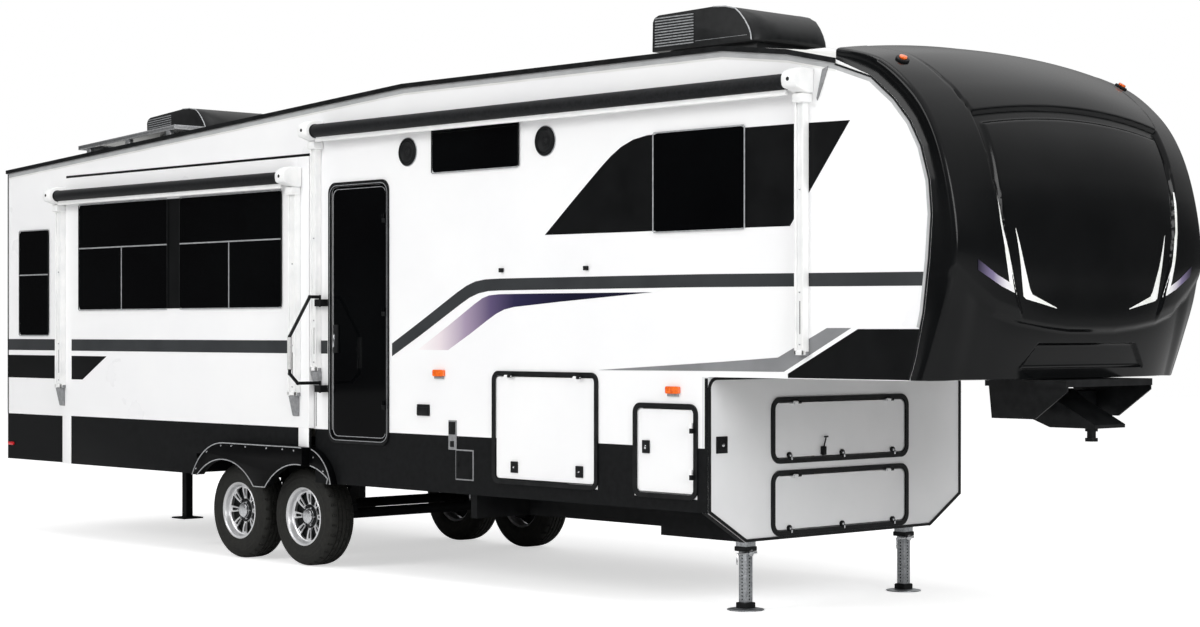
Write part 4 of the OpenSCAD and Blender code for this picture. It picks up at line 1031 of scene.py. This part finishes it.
def fenders():
    s = fenderStyle
    skirt = [(-7.335, 0.623), (-5.365, 0.623), (-5.365, 0.780), (-3.925, 0.780), (-3.925, 1.017), (-7.335, 1.017)]
    slidePart = cutAt(fenderPlate(-1.337, 0.070), -3.925, False)
    wallPart = cutAt(fenderPlate(-1.280, 0.0597), -3.918, True)
    offPart = fenderPlate(1.2203, 0.0597)
    sheet = plate([(boxX + x, z) for x, z in skirt], 1, -1.271, 0.022, 0.002)
    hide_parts("slide_curb_skirt")
    settle(sheet, "slideSkirtSheet", "skirtSheet", "slide_curb", 30)
    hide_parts("slide_curb_skirt")
    settle(slidePart, "slideFender", "archBlackInShade", "slide_curb", 35)
    both = joined([wallPart, offPart])
    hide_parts("wall_fenders")
    settle(both, "wallFenders", "archBlackInShade", "trailer", 35)
    rear, front = fenderArches()
    cut = [p for p in front if p[0] < -3.925]
    runs = [("slideTop", [p for p in fenderTop() if p[0] < -3.925], -1.337, "slide_curb"), ("slideArches", (rear + cut)[::-1], -1.337, "slide_curb"),
            ("wallTop", [p for p in fenderTop() if p[0] > -3.918], -1.280, "trailer"),
            ("wallArch", [p for p in front if p[0] > -3.918][::-1], -1.280, "trailer")]
    # pale strips along the arch mouldings' edges: painted highlights of their lips
    for name, run, face, body in runs:
        edgeTrim("highlightBead" + name, run, face, s["highlightBead"], 0.003, 1, -1, body, "satinBarAndHighlight")
    heads = {"slide_curb": [], "trailer": []}
    for x, z in [(-5.275, 0.672), (-5.132, 0.804), (-4.942, 0.858), (-4.807, 0.860), (-4.623, 0.860), (-4.359, 0.860), (-4.158, 0.860),
                 (-4.021, 0.855), (-3.866, 0.809), (-3.745, 0.715)]:
        body, face = ("slide_curb", -1.337) if x < -3.93 else ("trailer", -1.280)
        heads[body].append(rod((boxX + x, face, z), (boxX + x, face - 0.003, z), 0.008, 16, 0.001))
    for body, made in heads.items():
        settle(joined(made), "fenderScrews" + body, "polishedSteel", body, 40)


fenders()
print("fenders made")


# awnings: fabric rolled in its dark cover, ferrules, cast heads and channel arms with their fittings

awningStyle = {
    "patio": {"node": "patio_awning", "body": "trailer", "x": (-3.808, 0.730), "z": 3.145, "face": -1.220, "radius": 0.0455, "arm": 0.070,
              "low": (1.430, 1.577)},
    "slide": {"node": "slide_curb_awning", "body": "slide_curb", "x": (-7.270, -4.120), "z": 2.825, "face": -1.271, "radius": 0.0425,
              "arm": 0.090, "low": (1.250, 1.250)},
    "slideOff": {"node": "slide_off_awning", "body": "slide_off", "x": (-5.583, -2.345), "z": 2.825, "face": 1.271, "radius": 0.0425,
                 "arm": 0.090, "low": (1.250, 1.250)},
}
# head in side view: way out from the wall, height over the roller
headSide = [(0.0003, -0.070), (0.060, -0.070), (0.118, -0.050), (0.150, -0.044), (0.162, -0.030), (0.1675, -0.008), (0.1675, 0.020),
            (0.158, 0.044), (0.138, 0.058), (0.096, 0.075), (0.0003, 0.075)]
headStyle = {"wide": 0.110, "channel": 0.014, "deep": 0.050, "floor": 0.038, "bolt": 0.012}


def awning(name, s):
    out = -1 if s["face"] < 0 else 1
    h = headStyle
    rear, front = boxX + s["x"][0], boxX + s["x"][1]
    y, r = s["face"] + out * 0.090, s["radius"]

    def bar(x0, x1, near, far, z0, z1, bevel=0.002):
        ys = sorted((s["face"] + out * near, s["face"] + out * far))
        return block((x0, ys[0], z0), (x1, ys[1], z1), bevel)
    white, fittings, slotShadeAndBolts, pads = [], [], [], []
    for x, low in ((rear - h["wide"], s["low"][0]), (front, s["low"][1])):
        head = plate([(s["face"] + out * a, s["z"] + b) for a, b in headSide], 0, x, h["wide"], 0.012)
        top = s["z"] - 0.0705
        neck = bar(x + 0.012, x + h["wide"] - 0.012, 0.0005, 0.086, top - 0.055, top, 0.010)
        armTop = top - 0.050
        white += [head, neck, bar(x, x + s["arm"], 0.0005, h["floor"], low, armTop)]
        white += [bar(x, x + h["channel"], h["floor"] - 0.001, h["deep"], low, armTop),
                  bar(x + s["arm"] - h["channel"], x + s["arm"], h["floor"] - 0.001, h["deep"], low, armTop),
                  bar(x, x + s["arm"], h["floor"] - 0.001, h["deep"], low, low + 0.028)]
        middle = x + s["arm"] / 2
        for z in (low + 0.060, low + 0.36, low + 0.95):
            face = s["face"] + out * h["floor"]
            fittings.append(rod((middle, face, z), (middle, face + out * 0.005, z), 0.0055, 16, 0.0012))
        # dark strip on the channel floor for the arm's slot: painted shade of the opening
        slotShadeAndBolts.append(bar(middle - 0.0025, middle + 0.0025, h["floor"], h["floor"] + 0.0008, low + 0.12, low + 0.31, 0.0))
        headY = s["face"] + out * 0.1675
        slotShadeAndBolts.append(rod((x + 0.055, headY, s["z"] + 0.004), (x + 0.055, headY + out * 0.0006, s["z"] + 0.004), h["bolt"], 20))
        pads.append(bar(x - 0.004, x + s["arm"] + 0.004, 0.001, 0.030, low - 0.006, low + 0.020, 0.004))
    whole = joined(white)
    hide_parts(s["node"])
    settle(whole, name + "Arms", "powderWhite", s["body"], 35)
    cover = turned([(r - 0.004, 0.012), (r + 0.0005, 0.013), (r + 0.0012, 0.018), (r + 0.0012, front - rear - 0.018),
                    (r + 0.0005, front - rear - 0.013), (r - 0.004, front - rear - 0.012)], (rear, y, s["z"]), (1, 0, 0), 36)
    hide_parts(s["node"])
    settle(cover, name + "Cover", "fabricDark", s["body"], 40)
    hem = bar(rear + 0.02, front - 0.02, 0.087, 0.093, s["z"] - r - 0.016, s["z"] - r + 0.004)
    band = bar(rear + 0.02, front - 0.02, 0.078, 0.102, s["z"] - r - 0.034, s["z"] - r - 0.014, 0.003)
    settle(joined([hem, band]), name + "Bar", "powderWhite", s["body"], 40)
    rings = [turned([(0.020, 0.0), (r + 0.004, 0.0), (r + 0.0045, 0.004), (r + 0.0045, 0.013), (r + 0.002, 0.017), (0.030, 0.019)],
                    (x, y, s["z"]), (way, 0, 0), 36) for x, way in ((rear + 0.001, 1), (front - 0.001, -1))]
    settle(joined(rings), name + "Ferrules", "mouldedBlack", s["body"], 40)
    settle(joined(fittings), name + "Screws", "polishedSteel", s["body"], 40)
    settle(joined(slotShadeAndBolts), name + "Slots", "mouldedBlack", s["body"], 0)
    settle(joined(pads), name + "Feet", "footGreyAndShadow", s["body"], 30)


# woven acrylic rolled under its cover: dark, dull, with the faint wind of the roll
finishes["fabricDark"] = painted("fabricDark", "#1d1e20", "#0f1011", 22, (0.42, 0.6), 3, 0.15, shine=0.12)
for name, style in awningStyle.items():
    awning(name + "Awning", style)
print("awnings made")


# roof: air conditioner shrouds, solar panel on posts, vent lids

roofStyle = {"rear": ((-8.330, 3.085), math.atan2(0.325, 5.430)), "middle": ((-2.900, 3.410), math.atan2(-0.010, 3.020)),
             "crown": 0.055, "crownR": 13.559}
acStyle = {
    "wide": 0.720, "low": 0.110, "places": (("middle", -1.341), ("rear", -7.486)), "slats": 11, "grille": 0.385, "lean": 0.18,
    "side": [(0.0, 0.110), (0.945, 0.110), (0.965, 0.128), (0.962, 0.160), (0.945, 0.200), (0.905, 0.252), (0.845, 0.298), (0.770, 0.332),
             (0.670, 0.354), (0.560, 0.362), (0.060, 0.352), (0.022, 0.338), (0.004, 0.310)],
    "nose": [(0.0, 0.965), (0.18, 0.962), (0.30, 0.955), (0.40, 0.940), (0.46, 0.924), (0.5, 0.900)],
    "edge": [(0.560, 0.3605), (0.670, 0.3525), (0.757, 0.331), (0.798, 0.297), (0.840, 0.251), (0.875, 0.199), (0.892, 0.159), (0.898, 0.118)],
}


def onRoof(part, d, ahead, across, up):  # a point over the crown of one part of the roof
    (x0, z0), slope = roofStyle[part]
    run = (d - x0) / math.cos(slope) + ahead
    return Vector((boxX + x0 + run * math.cos(slope) - up * math.sin(slope), across,
                   z0 + roofStyle["crown"] + run * math.sin(slope) + up * math.cos(slope)))


def roofBlock(part, d, ahead, across, up, bevel=0.003, sink=0.0):  # a box set on the roof; sink follows the crown down
    rings = []
    for a in ahead:
        rings.append([onRoof(part, d, a, across[0], up[0] - sink), onRoof(part, d, a, across[1], up[0] - sink),
                      onRoof(part, d, a, across[1], up[1]), onRoof(part, d, a, across[0], up[1])])
    return loft(rings, bevel)


def airConditioner(n, part, d):
    s = acStyle
    shares = [-0.5, -0.46, -0.4, -0.3, -0.18, 0, 0.18, 0.3, 0.4, 0.46, 0.5]
    rings = [[onRoof(part, d, min(a, lookUp(s["nose"], abs(w)) - s["lean"] * ((up - s["low"]) / 0.252 * 2 * w) ** 2), w * s["wide"], up)
              for a, up in s["side"]] for w in shares]
    shroud = loft(rings, 0.006)
    base = roofBlock(part, d, (0.11, 0.89), (-0.30, 0.30), (0.0, s["low"] + 0.002), 0.004, 0.004)
    whole = joined([shroud, base])
    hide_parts("air_conditioners")
    settle(whole, f"airShroud{n}", "acPlastic", "trailer", 30)
    slats, pitch = [], 0.205 / s["slats"]
    for k in range(s["slats"]):
        up = s["low"] + 0.030 + pitch * k
        for side in (-1, 1):
            slats.append(roofBlock(part, d, (0.030, s["grille"]), sorted((side * 0.3598, side * 0.3635)), (up, up + pitch * 0.42), 0.0))
        slats.append(roofBlock(part, d, (-0.0035, 0.002), (-0.325, 0.325), (up, up + pitch * 0.42), 0.0))
    for k in range(1, 10):
        slats.append(roofBlock(part, d, (-0.003, 0.002), (-0.325 + 0.065 * k - 0.002, -0.325 + 0.065 * k + 0.002),
                               (s["low"] + 0.025, s["low"] + 0.235), 0.0))
    # pale rods along the shroud's rounded side edge: painted highlight of the curved edge
    edgeHighlights = [rod(onRoof(part, d, a, side * 0.3598, up), onRoof(part, d, b, side * 0.3598, high), 0.0045, 10)
            for (a, up), (b, high) in zip(s["edge"], s["edge"][1:]) for side in (-1, 1)]
    settle(joined(edgeHighlights), f"airEdgeHighlight{n}", "satinBarAndHighlight", "trailer", 40)
    settle(joined(slats), f"airSlats{n}", "slatGrey", "trailer", 0)
    seam = [roofBlock(part, d, (0.40, 0.86), sorted((side * 0.3598, side * 0.3612)), (0.150, 0.1525), 0.0) for side in (-1, 1)]
    settle(joined(seam), f"airSeam{n}", "slatGrey", "trailer", 0)


def ventLid(n, part, d, across, high):
    w = 0.420
    drop = max(abs(across), abs(across + w)) ** 2 / (2 * roofStyle["crownR"])
    rings = []
    for a, up, inset in ((0.0, 0.35, 0.012), (0.020, 0.75, 0.004), (0.070, 1.0, 0.0), (0.350, 0.95, 0.0), (0.400, 0.62, 0.004), (w, 0.30, 0.012)):
        rings.append([onRoof(part, d, a, across + inset, -drop + 0.0005), onRoof(part, d, a, across + w - inset, -drop + 0.0005),
                      onRoof(part, d, a, across + w - inset - 0.012, high * up * 0.8), onRoof(part, d, a, across + w - 0.06, high * up),
                      onRoof(part, d, a, across + 0.06, high * up), onRoof(part, d, a, across + inset + 0.012, high * up * 0.8)])
    lid = loft(rings, 0.004)
    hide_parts("roof_vents")
    settle(lid, f"ventLid{n}", "powderWhite", "trailer", 35)


def solarPanel():
    d, rise, long = -7.710, 0.075, 1.480
    frame = [roofBlock("rear", d, (0, long), (-0.900, -0.880), (rise, rise + 0.035)), roofBlock("rear", d, (0, long), (-0.460, -0.440), (rise, rise + 0.035)),
             roofBlock("rear", d, (0, 0.020), (-0.880, -0.460), (rise, rise + 0.035)), roofBlock("rear", d, (long - 0.020, long), (-0.880, -0.460), (rise, rise + 0.035))]
    for a in (0.10, 0.71, 1.32):
        for y in (-0.880, -0.500):
            drop = y * y / (2 * roofStyle["crownR"])
            frame.append(roofBlock("rear", d, (a, a + 0.060), (y, y + 0.040), (-drop, rise + 0.002)))
    whole = joined(frame)
    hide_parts("solar_panel")
    settle(whole, "solarFrame", "brushedTube", "trailer", 30)
    glass = roofBlock("rear", d, (0.0195, long - 0.0195), (-0.8805, -0.4595), (rise + 0.024, rise + 0.031), 0.0)
    settle(glass, "solarGlass", "solarCell", "trailer", 0)
    lines = [roofBlock("rear", d, (0.02 + 0.12 * k - 0.0012, 0.02 + 0.12 * k + 0.0012), (-0.880, -0.460), (rise + 0.031, rise + 0.0318), 0.0) for k in range(1, 12)]
    settle(joined(lines), "solarLines", "satinBarAndHighlight", "trailer", 0)


# shroud of a roof unit: grained black polypropylene, dull from the sun
finishes["acPlastic"] = painted("acPlastic", "#1b1c1d", "#101112", 60, (0.34, 0.5), 2.2, 0.1, shine=0.2)
# slats of its coil guard, greyed by the aluminium behind them
finishes["slatGrey"] = painted("slatGrey", "#9a9c9e", "#77797b", 18, (0.4, 0.6), 2, 0.05, shine=0.2)
for n, (part, d) in enumerate(acStyle["places"]):
    airConditioner(n, part, d)
for n, (part, d, across, high) in enumerate([("rear", -5.598, 0.350, 0.105), ("middle", -0.300, -0.250, 0.040), ("rear", -4.300, -0.500, 0.105)]):
    ventLid(n, part, d, across, high)
solarPanel()
print("roof dressed")


# front box: black edge trim, door locks, the inlet and the stops

frontStyle = {"x": 3.230, "trim": 0.018, "stand": 0.009}


def frontBoxDress():
    s = frontStyle
    ring = arc(1.150, 1.369, 0.070, 0, 90) + arc(-1.150, 1.369, 0.070, 90, 180)
    run = [(0.893, 0.431), (1.219, 0.625)] + ring + [(-1.219, 0.625), (-0.893, 0.431), (0.893, 0.431)]
    edgeTrim("frontEdge", run, s["x"], s["trim"], s["stand"], 0, 1, "trailer", "powderBlack")
    black, steel = [], []
    for z in (0.905, 0.459):  # stops at the lower corners and the lock in the middle of each door
        for y in (-0.50, 0.0, 0.50):
            up = z + 0.042 if z > 0.6 else z + 0.036
            black.append(rod((s["x"] + 0.0002, y, up), (s["x"] + 0.016, y, up), 0.019, 28, 0.003))
            steel.append(rod((s["x"] + 0.016, y, up), (s["x"] + 0.019, y, up), 0.009, 20, 0.001))
            steel.append(block((s["x"] + 0.0165, y + 0.004, up - 0.030), (s["x"] + 0.0215, y + 0.016, up - 0.002), 0.001))
    black.append(block((s["x"] + 0.0002, -0.202, 0.936), (s["x"] + 0.028, -0.170, 0.992), 0.006))
    black.append(rod((s["x"] + 0.016, -0.186, 0.985), (s["x"] + 0.024, -0.172, 1.052), 0.0045, 16))
    black.append(rod((s["x"] + 0.024, -0.190, 1.052), (s["x"] + 0.024, -0.154, 1.052), 0.0055, 16, 0.002))
    upper = [b for b in black if b.data.vertices[0].co.z > 0.8]
    lower = [b for b in black if b not in upper]
    upperSteel = [b for b in steel if b.data.vertices[0].co.z > 0.8]
    lowerSteel = [b for b in steel if b not in upperSteel]
    settle(joined(upper), "upperLocks", "mouldedBlack", "storage_door_upper", 40)
    settle(joined(lower), "lowerLocks", "mouldedBlack", "storage_door_lower", 40)
    settle(joined(upperSteel), "upperKeys", "polishedSteel", "storage_door_upper", 40)
    settle(joined(lowerSteel), "lowerKeys", "polishedSteel", "storage_door_lower", 40)
    plate = block((s["x"] - 0.001, -1.151, 0.979), (s["x"] + 0.009, -1.055, 1.081), 0.004)
    well = turned([(0.034, 0.009), (0.034, 0.014), (0.029, 0.015), (0.028, 0.010), (0.0005, 0.0095)], (s["x"], -1.103, 1.030), (1, 0, 0), 32)
    settle(joined([plate, well]), "frontInlet", "mouldedBlack", "trailer", 40)
    pin = rod((s["x"] + 0.0152, -1.103, 1.030), (s["x"] + 0.0175, -1.103, 1.030), 0.012, 20, 0.001)
    settle(pin, "frontInletPin", "polishedSteel", "trailer", 40)


frontBoxDress()


# landing legs: collar at the foot, cross pin with its pull handle under the outer tube

legStyle = {"x": 3.115, "y": 0.7653, "pinZ": 0.352, "collar": 0.048}


def legTubes():  # square steel tubes with a row of pin holes, on dished feet
    s = legStyle
    tubes, holes = [], []
    for side in (-1, 1):
        y = side * s["y"]
        tubes.append(block((s["x"] - 0.045, y - 0.045, 0.380), (s["x"] + 0.045, y + 0.045, 0.615), 0.006))
        tubes.append(block((s["x"] - 0.032, y - 0.032, 0.012), (s["x"] + 0.032, y + 0.032, 0.381), 0.007))
        tubes.append(turned([(0.0004, 0.012), (0.060, 0.013), (0.092, 0.010), (0.1145, 0.006), (0.115, 0.002), (0.112, 0.0), (0.0004, 0.0)],
                            (s["x"], y, 0), (0, 0, 1), 48))
        # pin holes drawn as black discs, not cut: painted shade of the hollow tube behind them
        for k in range(14):
            z = 0.066 + k * 0.021
            holes.append(rod((s["x"] + 0.0315, y, z), (s["x"] + 0.0324, y, z), 0.0055, 14))
            holes.append(rod((s["x"], y - 0.0315, z), (s["x"], y - 0.0324, z), 0.0055, 14))
    whole = joined(tubes)
    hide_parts("landing_legs")
    settle(whole, "legTubes", "dippedZinc", "trailer", 35)
    settle(joined(holes), "legHoleShade", "mouldedBlack", "trailer", 0)


def legDress():
    s = legStyle
    collars, pins = [], []
    for side in (-1, 1):
        y = side * s["y"]
        collars.append(block((s["x"] - 0.044, y - 0.044, 0.010), (s["x"] + 0.044, y + 0.044, s["collar"]), 0.006))
        collars.append(block((s["x"] - 0.050, y - 0.050, 0.362), (s["x"] + 0.050, y + 0.050, 0.392), 0.004))
        pins.append(rod((s["x"] + 0.034, y - 0.115, s["pinZ"]), (s["x"] + 0.034, y + 0.062, s["pinZ"]), 0.0075, 18, 0.002))
        pins.append(rod((s["x"] + 0.034, y - 0.112, s["pinZ"] + 0.004), (s["x"] + 0.040, y - 0.122, s["pinZ"] - 0.065), 0.005, 14, 0.001))
        pins.append(rod((s["x"] + 0.032, y, s["pinZ"]), (s["x"] + 0.052, y, s["pinZ"]), 0.021, 24, 0.003))
    settle(joined(collars), "legCollars", "mouldedBlack", "trailer", 40)
    settle(joined(pins), "legPins", "polishedSteel", "trailer", 40)


legTubes()
legDress()
print("front box dressed")


# stage, light and camera

def stageFloor():  # pale paper floor that fades to the white backdrop
    bpy.ops.object.select_all(action="DESELECT")
    bpy.ops.mesh.primitive_plane_add(size=80, location=(0, 0, 0))
    floor = bpy.context.object
    floor.name = "studioFloor"
    made = bpy.data.materials.new("studioPaper")
    made.use_nodes = True
    tree = made.node_tree
    shade = tree.nodes["Principled BSDF"]
    shade.inputs["Roughness"].default_value = 0.9
    shade.inputs["Specular IOR Level"].default_value = 0.1
    shade.inputs["Base Color"].default_value = linear("#f4f4f4")
    lit = addNode(tree, "ShaderNodeLightPath", {})
    level = addNode(tree, "ShaderNodeMath", {"operation": "MULTIPLY"}, [(0, lit.outputs["Is Camera Ray"])])
    level.inputs[1].default_value = 0.56
    glow = addNode(tree, "ShaderNodeEmission", {"Color": linear("#ffffff")}, [("Strength", level.outputs[0])])
    both = addNode(tree, "ShaderNodeAddShader", {}, [(0, shade.outputs[0]), (1, glow.outputs[0])])
    tree.links.new(both.outputs[0], tree.nodes["Material Output"].inputs["Surface"])
    floor.data.materials.append(made)
    return floor


stageFloor()

world = bpy.data.worlds.new("studioWorld")
bpy.context.scene.world = world
world.use_nodes = True
worldTree = world.node_tree
worldTree.nodes.clear()
rays = addNode(worldTree, "ShaderNodeLightPath", {})
seen = addNode(worldTree, "ShaderNodeMath", {"operation": "MAXIMUM"}, [(0, rays.outputs["Is Camera Ray"]), (1, rays.outputs["Is Transmission Ray"])])
# mirrored surroundings: dark walls low down, a bright ceiling over them
sky = addNode(worldTree, "ShaderNodeTexCoord", {})
height = addNode(worldTree, "ShaderNodeSeparateXYZ", {}, [("Vector", sky.outputs["Generated"])])
room = addNode(worldTree, "ShaderNodeMapRange", {"From Min": 0.12, "From Max": 0.75, "To Min": 0.10, "To Max": 1.25}, [("Value", height.outputs["Z"])])
fill = addNode(worldTree, "ShaderNodeBackground", {"Color": linear("#ffffff"), "Strength": 0.5})
mirrored = addNode(worldTree, "ShaderNodeBackground", {"Color": linear("#ffffff")}, [("Strength", room.outputs[0])])
backdrop = addNode(worldTree, "ShaderNodeBackground", {"Color": linear("#ffffff"), "Strength": 1.0})
lit = addNode(worldTree, "ShaderNodeMixShader", {}, [("Fac", rays.outputs["Is Glossy Ray"]), (1, fill.outputs[0]), (2, mirrored.outputs[0])])
both = addNode(worldTree, "ShaderNodeMixShader", {}, [("Fac", seen.outputs[0]), (1, lit.outputs[0]), (2, backdrop.outputs[0])])
addNode(worldTree, "ShaderNodeOutputWorld", {}, [("Surface", both.outputs[0])])


def softLamp(name, place, aim, size, watts):
    bpy.ops.object.select_all(action="DESELECT")
    bpy.ops.object.light_add(type="AREA", location=place)
    lamp = bpy.context.object
    lamp.name = name
    lamp.data.shape = "DISK"
    lamp.data.size = size
    lamp.data.energy = watts
    lamp.rotation_mode = "QUATERNION"
    lamp.rotation_quaternion = (Vector(aim) - Vector(place)).to_track_quat("-Z", "Y")


softLamp("sideKey", (-2, -16, 9), (-0.5, 0, 1.6), 9, 960)
softLamp("topFill", (2, -2, 14), (0, 0, 1), 10, 600)
softLamp("frontFill", (17, -5, 6), (3, 0, 1.4), 7, 900)

# the photograph's camera: level, lens height 1.715 m, 46 degrees off the side
bpy.ops.object.camera_add(location=(12.784, -11.184, 1.715))
camera = bpy.context.object
camera.rotation_mode = "QUATERNION"
camera.rotation_quaternion = Vector((-0.72510, 0.68864, 0)).to_track_quat("-Z", "Y")
camera.data.lens = 69.18
camera.data.sensor_width = 36
camera.data.shift_y = 0.0146
bpy.context.scene.camera = camera
bpy.context.scene.view_settings.view_transform = "Standard"
